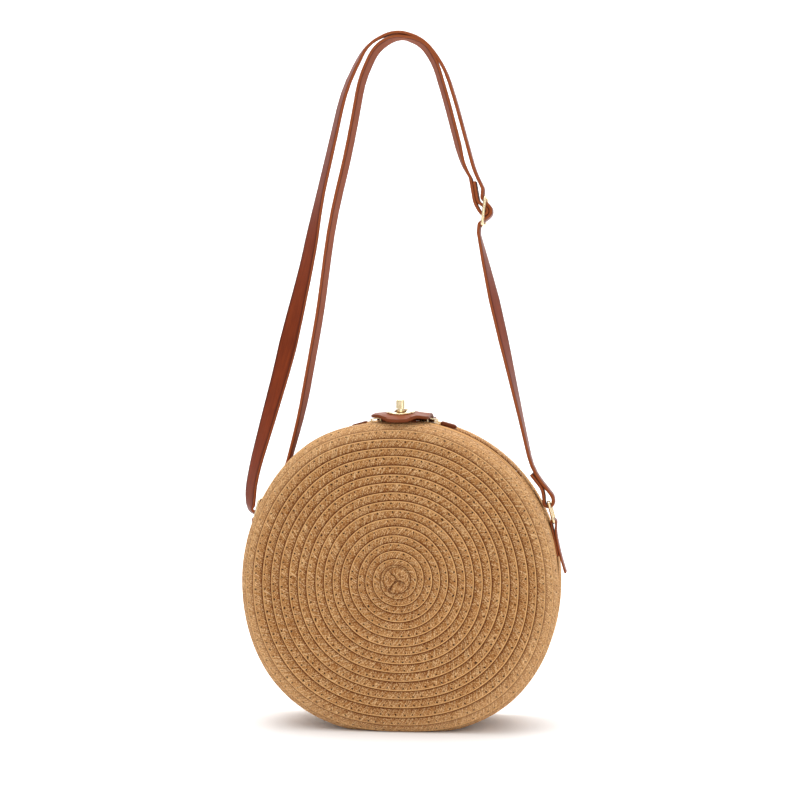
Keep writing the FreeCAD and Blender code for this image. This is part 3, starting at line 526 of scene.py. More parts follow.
def easy_step(value, low, high):
    """0 below low, 1 above high, an easy curve in between."""
    share = np.clip((value - low) / (high - low), 0, 1)
    return share * share * (3 - 2 * share)


def fullness(angle, y):
    """Millimetres that the straw sags out from a true circle; the fittings' middle band stays true."""
    spread = np.radians(np.linspace(-9, 9, 7))
    degrees = np.degrees(angle[..., None] + spread) % 360
    out = np.interp(degrees, FULLNESS[:, 0], FULLNESS[:, 1]).mean(-1)
    true_middle = easy_step(np.sin(angle), -0.3, -0.05) * (1 - easy_step(np.abs(y), 9, 25))
    return out * (1 - true_middle)


def soft_floor(z):
    """Heights below the table pressed flat: half of z plus the root of its square and a small square."""
    return 0.5 * (z + np.sqrt(z * z + 1.2))


def panel_point(reach, angle, lift):
    """A point at a reach from the middle over the flat, the round rim and the side, lifted outward."""
    turn = np.clip((reach - PANEL_FLAT) / RIM, 0, math.pi / 2)
    side = np.maximum(reach - PANEL_FLAT - RIM * math.pi / 2, 0)
    radius = np.minimum(reach, PANEL_FLAT) + (RIM + lift) * np.sin(turn)
    depth = HALF_DEPTH - RIM + (RIM + lift) * np.cos(turn) - side
    depth = depth + PANEL_BULGE * np.clip(1 - (reach / PANEL_FLAT) ** 2, 0, 1)
    radius, angle = np.broadcast_arrays(radius, angle)
    radius = radius + fullness(angle, depth) * (radius / RADIUS) ** 2
    return np.stack([radius * np.cos(angle), -depth, soft_floor(AXIS_Z + radius * np.sin(angle))], -1)


print(f"the bag sags out by up to {FULLNESS[:, 1].max():.1f} mm")

# %% Coiled panels


def coil_panel(name, side):
    """A closed panel: spiral rows, a folded knot in the middle and a plain inner wall; side mirrors it."""
    samples = len(ROW_PLACES) - 1
    turns_out = np.arange(0, 24 * STEPS_ROUND) / STEPS_ROUND - 1
    last = int(np.argmax(row_edge(turns_out) >= PANEL_REACH))
    station = np.arange(last + STEPS_ROUND + 1)
    turns = station / STEPS_ROUND - 1
    angle = 2 * np.pi * turns
    low = row_edge(turns)
    high = row_edge(turns + 1)
    width = high - low
    reach = low[:, None] + width[:, None] * ROW_PLACES[None, :samples]
    swell = 1 + 0.12 * np.sin(2 * np.pi * 3.3 * turns + 0.7) + 0.08 * np.sin(2 * np.pi * 7.9 * turns)
    row_height = ROW_HEIGHTS[None, :samples] * np.clip(width / 4.5, 0, 1)[:, None] * swell[:, None]
    relief = np.clip((PANEL_REACH - low[:, None] - width[:, None] * ROW_PLACES[None, :]) / 5, 0.3, 1)
    height = ROW_HEIGHTS.mean() + (row_height - ROW_HEIGHTS.mean()) * relief[:, :samples] - ROW_BASE
    rows = panel_point(reach, angle[:, None], height)
    walked = np.concatenate([[0], np.cumsum(0.5 * (low[1:] + high[1:]) * 2 * np.pi / STEPS_ROUND)])

    n, j = np.meshgrid(np.arange(last), np.arange(samples), indexing="ij")

    def corner(step_n, step_j):
        outer = j + step_j == samples
        return np.where(outer, (n + step_n + STEPS_ROUND) * samples, (n + step_n) * samples + j + step_j)

    faces = np.stack([corner(0, 0), corner(1, 0), corner(1, 1), corner(0, 1)], -1).reshape(-1, 4)
    u = np.stack([walked[n], walked[n + 1], walked[n + 1], walked[n]], -1) / STITCH_PITCH
    shown = ROW_MIDDLE + (ROW_PLACES[None, :] - ROW_MIDDLE) * relief
    v = np.stack([shown[n, j], shown[n + 1, j], shown[n + 1, j + 1], shown[n, j + 1]], -1)
    uv = np.stack([u, v], -1).reshape(-1, 4, 2)

    around = 2 * np.pi * np.arange(STEPS_ROUND) / STEPS_ROUND
    knot_reach = KNOT * KNOT_REACHES
    spot = knot_reach[:, None] * np.exp(1j * around)[None, :]
    dome = 1.5 * np.sqrt(np.clip(1 - (np.abs(spot) / KNOT) ** 2, 0, 1)) - 0.3
    folds = np.zeros_like(dome)
    share_out = np.abs(spot) / KNOT
    for starts_at, curls_by, length in KNOT_CREASES:
        turned = spot * np.exp(-1j * np.radians(starts_at + curls_by * share_out))
        crease = np.exp(-((turned.imag / 0.62) ** 2)) * (turned.real > -0.2)
        folds = np.maximum(folds, crease * (1 - easy_step(share_out, length - 0.1, length + 0.1)))
    knot = panel_point(knot_reach[:, None], around[None, :], dome - 1.2 * folds)
    knot_u = spot.real / STITCH_PITCH + 3.0
    # In the creases and at the knot's edge the grid place falls to a row's groove, so they take its painted
    # shade.
    knot_v = (0.42 + 0.2 * np.sin(1.1 * spot.imag + 0.5 * spot.real)) * (1 - 0.93 * folds)
    wall = panel_point(WALL_REACHES[:, None], around[None, :], np.full(dome.shape, -PANEL_WALL))

    def rings(start, border):
        """Quads from a border of points through the rings that begin at start."""
        count = len(knot_reach)
        ring = np.vstack([border[None, :], start + np.arange(count * STEPS_ROUND).reshape(count, -1)])
        quads = [ring[:-1], np.roll(ring, -1, 1)[:-1], np.roll(ring, -1, 1)[1:], ring[1:]]
        return np.stack(quads, -1).reshape(-1, 4)

    first_knot = rows.shape[0] * samples
    inner = rings(first_knot, np.arange(STEPS_ROUND) * samples)
    outer_border = (last + (np.arange(STEPS_ROUND) - last) % STEPS_ROUND) * samples
    shell = rings(first_knot + knot.shape[0] * STEPS_ROUND, outer_border)
    plain = np.tile(np.array([[[0.05, 0.3], [0.1, 0.3], [0.1, 0.4], [0.05, 0.4]]]), (len(inner), 1, 1))
    grid_u = np.vstack([np.full((1, STEPS_ROUND), 3.0), knot_u])
    grid_v = np.vstack([np.full((1, STEPS_ROUND), 0.04), knot_v])
    knot_uv = np.stack([grid_u, grid_v], -1)
    ahead = np.roll(knot_uv, -1, 1)
    knot_uv = np.stack([knot_uv[:-1], ahead[:-1], ahead[1:], knot_uv[1:]], 2).reshape(-1, 4, 2)
    points = np.vstack([rows.reshape(-1, 3), knot.reshape(-1, 3), wall.reshape(-1, 3)])
    points[:, 1] *= side
    every = np.vstack([faces, inner, shell])
    used = np.unique(every)
    every = np.searchsorted(used, every)
    piece = make_piece(name, points[used], every, np.vstack([uv, knot_uv, plain]), weld=True)
    print(f"{name}: {last / STEPS_ROUND:.1f} turns, {triangles(piece)} triangles")
    return piece


place(coil_panel("front_straw", 1), "bag", straw, "straw", "front_panel")
place(coil_panel("back_straw", -1), "bag", straw, "straw", "back_panel")

# %% [markdown]
# ## The gusset and the two top strips
# The same braid runs round the side in straight rows, and two short strips of it edge the zipper.
# A strip's edge is turned down towards the zipper, as a hem.

# %% Straw bands
BAND_INSIDE = 97.6
HEM_DROP = 1.1
HEM_WIDTH = 2.6


def straw_band(name, row_edges, first_angle, last_angle, hem_y=None):
    """Straight rows carried round the bag's axis, with a plain inner face and closed ends."""
    row_edges = np.asarray(row_edges)
    steps = int(abs(last_angle - first_angle) / math.radians(1.0)) + 1
    angle = np.linspace(first_angle, last_angle, steps)
    lows, highs = row_edges[:-1], row_edges[1:]
    y = (lows[:, None] + (highs - lows)[:, None] * ROW_PLACES[None, :-1]).ravel()
    y = np.append(y, row_edges[-1])
    relief = np.clip((SEAM_Y - np.abs(y)) / 4, 0.25, 1)
    row_height = np.append(np.tile(ROW_HEIGHTS[:-1], len(lows)), 0.0)
    lift = ROW_HEIGHTS.mean() + (row_height - ROW_HEIGHTS.mean()) * relief - ROW_BASE
    if hem_y is not None:
        lift = lift - HEM_DROP * np.clip(1 - np.abs(y - hem_y) / HEM_WIDTH, 0, 1) ** 2
    section_y = np.concatenate([y, [row_edges[-1], row_edges[0]]])
    section_r = np.concatenate([RADIUS + lift, [BAND_INSIDE, BAND_INSIDE]])
    wander = unevenness(angle[:, None] / 2.1 + section_y[None, :] * 0.05) * 0.5
    turned, sideways = np.broadcast_arrays(math.pi / 2 - angle[:, None], section_y[None, :])
    radius = section_r[None, :] + 0.35 * wander + fullness(turned, sideways)
    free = np.abs(section_y) < np.abs(row_edges).max() - 0.1
    shifted = section_y[None, :] + wander * free[None, :]
    height = soft_floor(AXIS_Z + radius * np.cos(angle)[:, None])
    points = np.stack([radius * np.sin(angle)[:, None], shifted, height], -1)
    cols = len(section_y)
    faces = grid_faces(steps, cols, round_cols=True)
    r, c = np.meshgrid(np.arange(steps - 1), np.arange(cols), indexing="ij")
    place_on = np.append(np.tile(ROW_PLACES[:-1], len(lows)), [1.0, 0.4, 0.4])
    following = np.append(np.tile(ROW_PLACES[1:], len(lows)), [0.4, 0.4, 0.0])
    walk = RADIUS * np.abs(angle - first_angle) / STITCH_PITCH
    row_shift = c // (len(ROW_PLACES) - 1) * 13.37
    u = np.stack([walk[r], walk[r + 1], walk[r + 1], walk[r]], -1) + row_shift[..., None]
    next_relief = np.append(relief[1:], [1.0, 1.0, relief[0]])
    relief = np.append(relief, [1.0, 1.0])
    place_on = ROW_MIDDLE + (place_on - ROW_MIDDLE) * relief
    following = ROW_MIDDLE + (following - ROW_MIDDLE) * next_relief
    v = np.stack([place_on[c], place_on[c], following[c], following[c]], -1)
    uv = np.vstack([np.stack([u, v], -1).reshape(-1, 2), np.full((2 * cols, 2), 0.3)])
    piece = make_piece(name, *with_caps(points, faces), uv)
    print(f"{name}: {len(lows)} rows, {triangles(piece)} triangles")
    return piece


gusset_rows = np.linspace(-SEAM_Y, SEAM_Y, 10)
gusset = straw_band("gusset_straw", gusset_rows, MOUTH_ANGLE, 2 * math.pi - MOUTH_ANGLE)
place(gusset, "bag", straw, "straw", "gusset_band")
strip_rows = np.linspace(MOUTH_Y, SEAM_Y, 4)
front_strip = straw_band("front_strip_straw", -strip_rows, -MOUTH_ANGLE, MOUTH_ANGLE, -MOUTH_Y)
place(front_strip, "bag", straw, "straw", "top_strip_front")
back_strip = straw_band("back_strip_straw", strip_rows, -MOUTH_ANGLE, MOUTH_ANGLE, MOUTH_Y)
place(back_strip, "bag", straw, "straw", "top_strip_back")

# %% [markdown]
# ## Flat leather strips
# The strap and the side tabs are cut strips, so each is one rounded section carried along a route.
# A route is a list of corners that arcs round off, as a strip bends round a bar or a hand.
# A strip may also turn about its own length, which is what makes the strap show its face on the left.

# %% Strip helpers
LOOP_MIDDLE = 330.0
CUT_END = 0.8


def rounded_route(corners, step, bend_share=0.45):
    """Points about a step apart along corners (x, z, radius or None), each rounded by a tangent arc."""
    flat = np.array([corner[:2] for corner in corners], float)
    line = [flat[:1]]
    for before, corner, after in zip(corners, corners[1:], corners[2:]):
        start, middle, end = (np.array(p[:2], float) for p in (before, corner, after))
        run_in, run_out = np.linalg.norm(middle - start), np.linalg.norm(end - middle)
        way_in, way_out = (middle - start) / run_in, (end - middle) / run_out
        turn = math.atan2(way_in[0] * way_out[1] - way_in[1] * way_out[0], way_in @ way_out)
        half_tan = math.tan(abs(turn) / 2)
        if half_tan < 1e-6:
            line.append(middle[None, :])
            continue
        radius = corner[2] or bend_share * min(run_in, run_out) / half_tan
        first = middle - way_in * radius * half_tan
        centre = first + np.array([-way_in[1], way_in[0]]) * math.copysign(radius, turn)
        swing = np.linspace(0, turn, max(4, int(abs(turn) / math.radians(6))))
        c, s = np.cos(swing), np.sin(swing)
        spoke = first - centre
        arc = [spoke[0] * c - spoke[1] * s, spoke[0] * s + spoke[1] * c]
        line.append(centre + np.stack(arc, -1))
    line.append(flat[-1:])
    line = np.vstack(line)
    walked = walk_along(line)
    keep = np.concatenate([[True], np.diff(walked) > 1e-6])
    line, walked = line[keep], walked[keep]
    even = np.linspace(0, walked[-1], max(4, int(walked[-1] / step) + 1))
    return np.stack([np.interp(even, walked, line[:, i]) for i in range(2)], -1), even


def strip_section(width, thick, puff=0.1):
    """A cut strip's outline, its faces a little full and its edges round, and its edge number."""
    half, deep = width / 2, thick / 2
    round_by = 0.8 * deep
    face = np.linspace(-(half - round_by), half - round_by, 7)
    bend = np.radians(np.linspace(90, -90, 8))[1:-1]
    side = half - round_by + round_by * np.cos(bend)
    rise = (deep - round_by) * np.sign(np.sin(bend)) + round_by * np.sin(bend)
    full = deep + puff * (1 - (face / half) ** 2)
    across_at = np.concatenate([face, side, face[::-1], -side[::-1]])
    through = np.concatenate([full, rise, -full[::-1], rise[::-1]])
    edge = np.clip((np.abs(across_at) - half + 1.3 * round_by) / round_by, 0, 1)
    return across_at, through, edge


def strip(name, corners, step, width, thick, turn=None, puff=0.1):
    """A section carried along a route; turn gives the degrees that its outer face turns to the front."""
    line, walked = rounded_route(corners, step)
    way = unit(np.gradient(line, axis=0))
    outer = np.stack([way[:, 1], 0 * way[:, 0], -way[:, 0]], -1)
    twist = np.radians(turn(line[:, 0], line[:, 1])) if turn else np.zeros(len(line))
    front = np.array([0.0, 1.0, 0.0])
    wide = np.cos(twist)[:, None] * front + np.sin(twist)[:, None] * outer
    deep = np.cos(twist)[:, None] * outer - np.sin(twist)[:, None] * front
    across_at, through, edge = strip_section(width, thick, puff)
    middle = np.stack([line[:, 0], 0 * line[:, 0], line[:, 1]], -1)
    points = (
        middle[:, None, :]
        + across_at[None, :, None] * wide[:, None, :]
        + through[None, :, None] * deep[:, None, :]
    )
    rows, cols = points.shape[:2]
    faces = grid_faces(rows, cols, round_cols=True)
    edges = np.concatenate([np.tile(edge, rows), np.full(2 * cols, CUT_END)])
    r, c = np.meshgrid(np.arange(rows - 1), np.arange(cols), indexing="ij")
    u = np.stack([walked[r], walked[r + 1], walked[r + 1], walked[r]], -1)
    beside = np.roll(across_at, -1)
    # The face that looks in towards the loop's middle is marked for the painted sheen.
    to_middle = np.stack([-line[:, 0], np.minimum(LOOP_MIDDLE - line[:, 1], 0)], -1)
    inward = np.sign((to_middle * outer[:, [0, 2]]).sum(1))
    flat = (edge < 0.4) & (np.roll(edge, -1) < 0.4)
    painted_sheen_face = SHEEN_FACE_MARK * ((through[None, :] * inward[:, None] > 0) & flat[None, :])
    v = np.stack([across_at[c], across_at[c], beside[c], beside[c]], -1) + painted_sheen_face[r, c][..., None]
    uv = np.vstack([np.stack([u, v], -1).reshape(-1, 2), np.zeros((2 * cols, 2))])
    piece = make_piece(name, *with_caps(points, faces), uv, edge=edges)
    print(f"{name}: {walked[-1]:.0f} mm long, {triangles(piece)} triangles")
    return piece


print(f"a strap's section has {len(strip_section(STRAP_WIDTH, STRAP_THICK)[0])} corners")

# %% [markdown]
# ## The strap
# One long strap starts sewn round the buckle's middle bar, goes over the top and down through the left
# ring, comes back over the top, weaves through the buckle and ends round the right ring.
# It is modelled in lengths that meet end to end: those on the strap or the buckle move with it, and those
# that lie over a joint are attached to no body.

# %% Strap routes
BUCKLE = (52.2, 331.92)
BUCKLE_LEAN = math.radians(6)
WEAVE_TURN = math.radians(47.2)
SEWN_LEAN = math.radians(15.8)
SEWN_RISE = 7.6


def by_buckle(side, up, radius=None):
    """A corner placed from the buckle's middle bar: sideways and up along the leaning buckle."""
    c, s = math.cos(BUCKLE_LEAN), math.sin(BUCKLE_LEAN)
    return (BUCKLE[0] + side * c + up * s, BUCKLE[1] - side * s + up * c, radius)


def on_fold(across_by, along_by, radius=None):
    """A corner of the sewn fold, along the way that the woven strap leaves the bar."""
    c, s = math.cos(WEAVE_TURN), math.sin(WEAVE_TURN)
    return by_buckle(across_by * c - along_by * s, across_by * s + along_by * c, radius)


def on_tail(across_by, along_by):
    """A corner of the sewn tail, which stands up again above the fold."""
    c, s = math.cos(SEWN_LEAN), math.sin(SEWN_LEAN)
    return by_buckle(
        across_by * c - along_by * s - SEWN_RISE * math.sin(WEAVE_TURN),
        across_by * s + along_by * c + SEWN_RISE * math.cos(WEAVE_TURN),
    )


def open_corners(pairs):
    """Corners whose bend is as wide as their runs allow."""
    return [(x, z, None) for x, z in pairs]


def halfway(first, second):
    """The middle of a run, where two lengths meet."""
    return ((first[0] + second[0]) / 2, (first[1] + second[1]) / 2, None)


single = open_corners([(83.4, 165.0), (65.2, 246.2), (52.2, 301.7)])
outer_right = open_corners([(45.8, 357.9)])
outer_top = open_corners(
    [(33.0, 404.8), (26.4, 424.9), (13.6, 443.0), (-6.0, 449.2), (-24.0, 441.2), (-38.8, 413.1)]
    + [(-48.2, 372.2), (-56.3, 338.2), (-63.0, 301.7), (-79.8, 232.3)]
)
outer_left = open_corners([(-98.0, 168.1)])
bight = [(-101.47, 151.7, None), (-101.47, 135.97, 3.54), (-93.6, 135.97, 3.54)]
bight += open_corners([(-88.15, 147.9), (-77.98, 162.4)])
inner_left = open_corners([(-67.0, 202.8)])
inner_top = open_corners(
    [(-55.2, 267.0), (-47.4, 326.0), (-36.0, 372.2), (-27.6, 418.7), (-18.2, 438.4), (-4.5, 446.1)]
    + [(12.0, 440.9), (20.2, 428.4), (27.9, 402.4)]
)
inner_right = open_corners([(38.2, 362.5)])
weave_route = [
    by_buckle(-2.25, -14.2),
    by_buckle(-2.25, -11.7),
    by_buckle(-2.25, -8.22, 2.25),
    by_buckle(4.5, -1.97, 4.5),
    by_buckle(4.5, 1.97, 4.5),
    by_buckle(-2.25, 8.22, 2.25),
    by_buckle(-2.25, 11.7),
    by_buckle(-2.25, 14.2),
]
sewn_route = [
    on_tail(1.05, 13.4),
    on_tail(1.05, 0),
    on_fold(2.25, 2.25),
    on_fold(2.25, -2.25, 2.25),
    on_fold(-2.25, -2.25, 2.25),
    on_fold(-2.25, 2.25),
    on_tail(-1.05, 0),
    on_tail(-1.05, 13.4),
    on_tail(-1.05, 15.9),
]
ring_route = [(82.67, 162.57, None), (89.8, 153.67, None), (91.07, 147.97, None), (91.07, 141.97, 2.7)]
ring_route += [(97.07, 141.97, 2.7), (97.07, 147.97, None)] + single[:1]
single_low = halfway(single[0], single[1])
single_high = halfway(single[1], single[2])
outer_start = halfway(outer_right[0], outer_top[0])
outer_end = halfway(outer_top[-1], outer_left[0])
inner_start = halfway(inner_left[0], inner_top[0])
inner_end = halfway(inner_top[-1], inner_right[0])
print(f"buckle at x {BUCKLE[0]:.1f}, z {BUCKLE[1]:.1f} mm")

# %% [markdown]
# ## How the strap turns
# Leather that hangs loose never stays quite edge-on. On the left the outer length turns its face to the
# front about 50 mm above the bag, and on the right the single length turns a little below the buckle.

# %% Twists
LEFT_TURN = np.array(
    [(134, 0), (137, 16), (141, 30), (147, 36), (163, 38), (178, 43), (197, 50), (222, 57), (246, 66)]
    + [(262, 60), (280, 52), (300, 45), (314, 42), (330, 33), (345, 27), (400, 22), (430, 18), (446, 8)]
)
INNER_LEFT_TURN = 8.0
INNER_RIGHT_TURN = 16.0
RIGHT_TURN = np.array([(165, 0), (200, 5), (222, 11), (250, 19), (275, 21), (300, 10), (316, 0)])


def left_turn(x, z):
    """Degrees by height on the left outer length, none on the right."""
    return np.interp(z, LEFT_TURN[:, 0], LEFT_TURN[:, 1]) * np.clip(-x / 15, 0, 1)


def right_turn(x, z):
    """Degrees by height on the single length."""
    return np.interp(z, RIGHT_TURN[:, 0], RIGHT_TURN[:, 1]) * np.clip(x / 15, 0, 1)


def inner_turn(x, z):
    """The inner length turns its inner face a little to the front on both sides."""
    on_left = INNER_LEFT_TURN * np.clip(-x / 15, 0, 1) * np.clip((z - 175) / 40, 0, 1)
    return on_left + INNER_RIGHT_TURN * np.clip(x / 15, 0, 1)


def inner_end_turn(x, z):
    """The same turn, measured on the way up from the buckle, where it begins."""
    return -INNER_RIGHT_TURN * np.clip((z - 352) / 22, 0, 1)


def bight_turn(x, z):
    """The left outer turn on the outer side of the bight, the inner turn on its inner side."""
    return np.where(x < -81 - (200.2 - z) * 0.2, left_turn(x, z), inner_turn(x, z))


print(f"the left face turns up to {LEFT_TURN[:, 1].max()} degrees, the right one {RIGHT_TURN[:, 1].max()}")

# %% Strap lengths
strap_lengths = {
    "strap_right_end": (ring_route + [single_low], 0.7, right_turn),
    "strap_single_run": ([single_low, single[1], single_high], 1.5, right_turn),
    "strap_low_adjust": ([single_high, single[2]] + weave_route[:2], 1.0, right_turn),
    "strap_weave": (weave_route[1:-1], 0.5, None),
    "strap_sewn_end": (sewn_route[:-1], 0.5, None),
    "strap_outer_adjust": (weave_route[-2:] + outer_right + [outer_start], 1.0, None),
    "strap_inner_adjust": (sewn_route[-2:] + inner_right + [inner_end], 1.0, inner_end_turn),
    "strap_outer_run": ([outer_start] + outer_top + [outer_end], 1.5, left_turn),
    "strap_inner_run": ([inner_start] + inner_top + [inner_end], 1.5, inner_turn),
    "strap_left_bight": ([outer_end] + outer_left + bight + inner_left + [inner_start], 0.6, bight_turn),
}
strap_pieces = {}
for label, (corners, step, turn) in strap_lengths.items():
    strap_pieces[label] = strip("leather_" + label, corners, step, STRAP_WIDTH, STRAP_THICK, turn)
carried = {
    "strap_single_run": "strap",
    "strap_weave": "buckle",
    "strap_sewn_end": "buckle",
    "strap_outer_run": "strap",
    "strap_inner_run": "strap",
}
# Each bending length lists the body that it starts on, the body that it ends on and two heights, in metres;
# here such a length is attached to no body and stays where it is.
bending = {
    "strap_right_end": ("bag", "strap", 0.147, 0.180),
    "strap_left_bight": ("bag", "strap", 0.147, 0.180),
    "strap_low_adjust": ("strap", "buckle", 0.277, 0.317),
    "strap_outer_adjust": ("buckle", "strap", 0.347, 0.379),
    "strap_inner_adjust": ("buckle", "strap", 0.353, 0.380),
}
for label, piece in strap_pieces.items():
    place(piece, carried.get(label), leather, "leather", label)
    if label in bending:
        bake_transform(piece)

# %% [markdown]
# ## Side tabs
# Each tab is a strip folded over its ring's low bar and sewn to the gusset. The fold's outer tail is
# longer, and it stands away from the straw at its end.

# %% Side tabs
TAB_ANGLE = math.radians(11.9)
LOW_BAR_UP = 13.9
BAR_OUT = 2.5
LOOP = 1.85
TAB_THICK = 1.25


def tab_corners(side):
    """The tab's route from its inner tail up, round the bar and down to its flared outer tail."""
    up = np.array([-math.sin(TAB_ANGLE), math.cos(TAB_ANGLE)])
    out = np.array([math.cos(TAB_ANGLE), math.sin(TAB_ANGLE)])
    origin = np.array([0, AXIS_Z]) + out * (RADIUS + 0.1)
    local = [(-8.0, 0.65, None), (4.0, 0.65, None), (LOW_BAR_UP + LOOP, BAR_OUT - LOOP, LOOP)]
    local += [(LOW_BAR_UP + LOOP, BAR_OUT + LOOP, LOOP), (LOW_BAR_UP - 7.0, 2.05, None), (-8.0, 2.05, None)]
    local += [(-19.5, 3.1, None)]
    route = [(*(origin + up * s + out * n), radius) for s, n, radius in local]
    return [(side * x, z, radius) for x, z, radius in route]


for side, word in SIDES:
    tab = strip(f"leather_{word}_tab", tab_corners(side), 0.5, STRAP_WIDTH, TAB_THICK, puff=0.05)
    place(tab, "bag", leather, "leather", f"{word}_side_tab", f"{word}_tab_loop")

# %% [markdown]
# ## Slotted sheets: the flap and its plate
# The flap is one piece of leather: its back is sewn down on the top strip, it bends over the zipper,
# and its round tip droops over the front. The toggle comes up through a slot that a gilt plate edges.
# Both are drawn as a ring of spokes between the slot and the outline, then given a top, an edge and
# a bottom.

# %% Flap shape
FLAP_BACK = 25.0
FLAP_TIP = -38.0
FLAP_PROFILE = np.array(
    [(25.0, 1.2), (10.0, 1.2), (6.0, 1.5), (1.0, 3.9), (-4.0, 5.6), (-12.0, 5.3), (-17.0, 4.9)]
    + [(-22.0, 4.4), (-25.0, 4.0), (-29.0, 3.3), (-34.0, 2.0), (-38.0, 0.5)]
)
FLAP_SIDE = np.array(
    [(25.0, 1.2), (10.0, 1.2), (6.0, 1.5), (1.0, 3.9), (-3.0, 4.8), (-9.0, 4.5), (-17.0, 4.3)]
    + [(-38.0, 4.0)]
)
FLAP_ROUND = 101.2
RIGHT_DROOP = 1.2


def round_ended(angle, half_x, front_y, back_y, front_round, back_round, about_y):
    """Where a spoke from (0, about_y) leaves a rectangle with corners rounded at the front and back."""
    reach = np.linspace(0.0, 80.0, 1601)[None, :]
    x = np.abs(reach * np.sin(angle)[:, None])
    y = about_y + reach * np.cos(angle)[:, None]
    front_gap = np.maximum(front_y + front_round - y, 0)
    back_gap = np.maximum(y - back_y + back_round, 0)
    side_front = np.hypot(np.maximum(x - half_x + front_round, 0), front_gap) - front_round
    side_back = np.hypot(np.maximum(x - half_x + back_round, 0), back_gap) - back_round
    inside = np.maximum(np.maximum(side_front, side_back), x - half_x) <= 0
    far = reach[0, inside.sum(1) - 1]
    return np.stack([far * np.sin(angle), about_y + far * np.cos(angle)], -1)


def flap_height(x, y):
    """The leather's middle: a drooping profile, a level one by the sides, less half the bag's round."""
    spread = y[..., None] + np.linspace(-2.1, 2.1, 13)
    middle = np.interp(-spread, -FLAP_PROFILE[:, 0], FLAP_PROFILE[:, 1]).mean(-1)
    level = np.interp(-spread, -FLAP_SIDE[:, 0], FLAP_SIDE[:, 1]).mean(-1)
    by_side = easy_step(np.abs(x), 5, 14)
    profile = middle * (1 - by_side) + level * by_side
    round_of_bag = FLAP_ROUND - np.sqrt(FLAP_ROUND**2 - x * x)
    right_droop = RIGHT_DROOP * easy_step(x, 8, 21) * easy_step(-y, 8, 18)
    return AXIS_Z + RADIUS + profile - 0.5 * round_of_bag - right_droop


def plate_height(x, y):
    """The stiff plate lies on the flap's middle and bends only a little with it."""
    return flap_height(0.4 * x, y)


print(f"the flap's middle is {flap_height(np.zeros(1), np.array([LOCK_Y]))[0]:.1f} mm up at the lock")

# %% Slotted sheets
SLOT_HALF_WIDTH = 4.0
SLOT_HALF_LENGTH = 7.75
SLOT_ROUND = 0.8
PLATE_HALF_WIDTH = 9.0
PLATE_HALF_LENGTH = 12.0
PLATE_ROUND = 8.9
PLATE_THICK = 1.1
PLATE_LIFT = 1.55
TIP_ROUND = 18.5
BACK_ROUND = 3.0


def slotted_sheet(name, slot_outline, outline, height, thick, rounding, lift=0.0):
    """A sheet between a slot and an outline that follows a height, closed by rounded edges."""
    half = thick / 2
    bend = np.radians(np.linspace(90, -90, 7))
    share = np.concatenate([np.linspace(0, 1, 15), np.ones(5), np.linspace(1, 0, 15), np.zeros(3)])
    round_in = rounding * (1 - np.cos(bend))[1:-1]
    inset = np.concatenate([np.zeros(14), [rounding], round_in, [rounding], np.zeros(17)])
    slot_wall = half * np.array([-0.5, 0.0, 0.5])
    rise = np.concatenate([np.full(15, half), half * np.sin(bend)[1:-1], np.full(15, -half), slot_wall])
    edge = np.concatenate([np.zeros(14), [0.5], np.ones(5), [0.5], np.zeros(14), np.ones(3)])
    length = np.linalg.norm(outline - slot_outline, axis=1)
    part = share[None, :] - inset[None, :] / length[:, None] * (share > 0.5)[None, :]
    plan = slot_outline[:, None, :] * (1 - part)[..., None] + outline[:, None, :] * part[..., None]
    x, y = plan[..., 0], plan[..., 1]
    z = height(x, y)
    nudge = 0.05
    slope_x = (height(x + nudge, y) - z) / nudge
    slope_y = (height(x, y + nudge) - z) / nudge
    normal = unit(np.stack([-slope_x, -slope_y, np.ones_like(z)], -1))
    points = np.stack([x, y, z], -1) + normal * (rise + lift)[None, :, None]
    rows, cols = points.shape[:2]
    faces = grid_faces(rows, cols, True, True)
    piece = make_piece(name, points.reshape(-1, 3), faces, edge=np.tile(edge, rows))
    print(f"{name}: {triangles(piece)} triangles")
    return piece


around = circle(180)


def about_lock(half_width, half_length, corner):
    """A rounded rectangle centred on the lock."""
    front_y, back_y = LOCK_Y - half_length, LOCK_Y + half_length
    return round_ended(around, half_width, front_y, back_y, corner, corner, LOCK_Y)


slot_edge = about_lock(SLOT_HALF_WIDTH, SLOT_HALF_LENGTH, SLOT_ROUND)
flap_outline = round_ended(around, FLAP_WIDTH / 2, FLAP_TIP, FLAP_BACK, TIP_ROUND, BACK_ROUND, LOCK_Y)
flap = slotted_sheet("flap_leather", slot_edge, flap_outline, flap_height, FLAP_THICK, 0.9)
place(flap, None, flap_leather, "leather", "closure_flap", "flap_anchor")
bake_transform(flap)

plate_outline = about_lock(PLATE_HALF_WIDTH, PLATE_HALF_LENGTH, PLATE_ROUND)
plate_slot = slot_edge * [0.94, 1]
plate = slotted_sheet("gilt_plate", plate_slot, plate_outline, plate_height, PLATE_THICK, 0.5, PLATE_LIFT)
place(plate, "flap", gilt, "gilt_metal", "eyelet_plate")

# %% [markdown]
# ## Zipper
# A nylon zipper is two coils of one thread that lock into each other. Each coil here is a flattened helix
# carried round the bag's axis, on the edge of its tape.

# %% Zipper coils
COIL_ANGLE = math.radians(46)
COIL_PITCH = 1.25
COIL_RADIUS = 98.25
COIL_MIDDLE = 1.65
COIL_HALF_WIDTH = 1.2
COIL_HALF_HEIGHT = 0.55
COIL_THREAD = 0.66


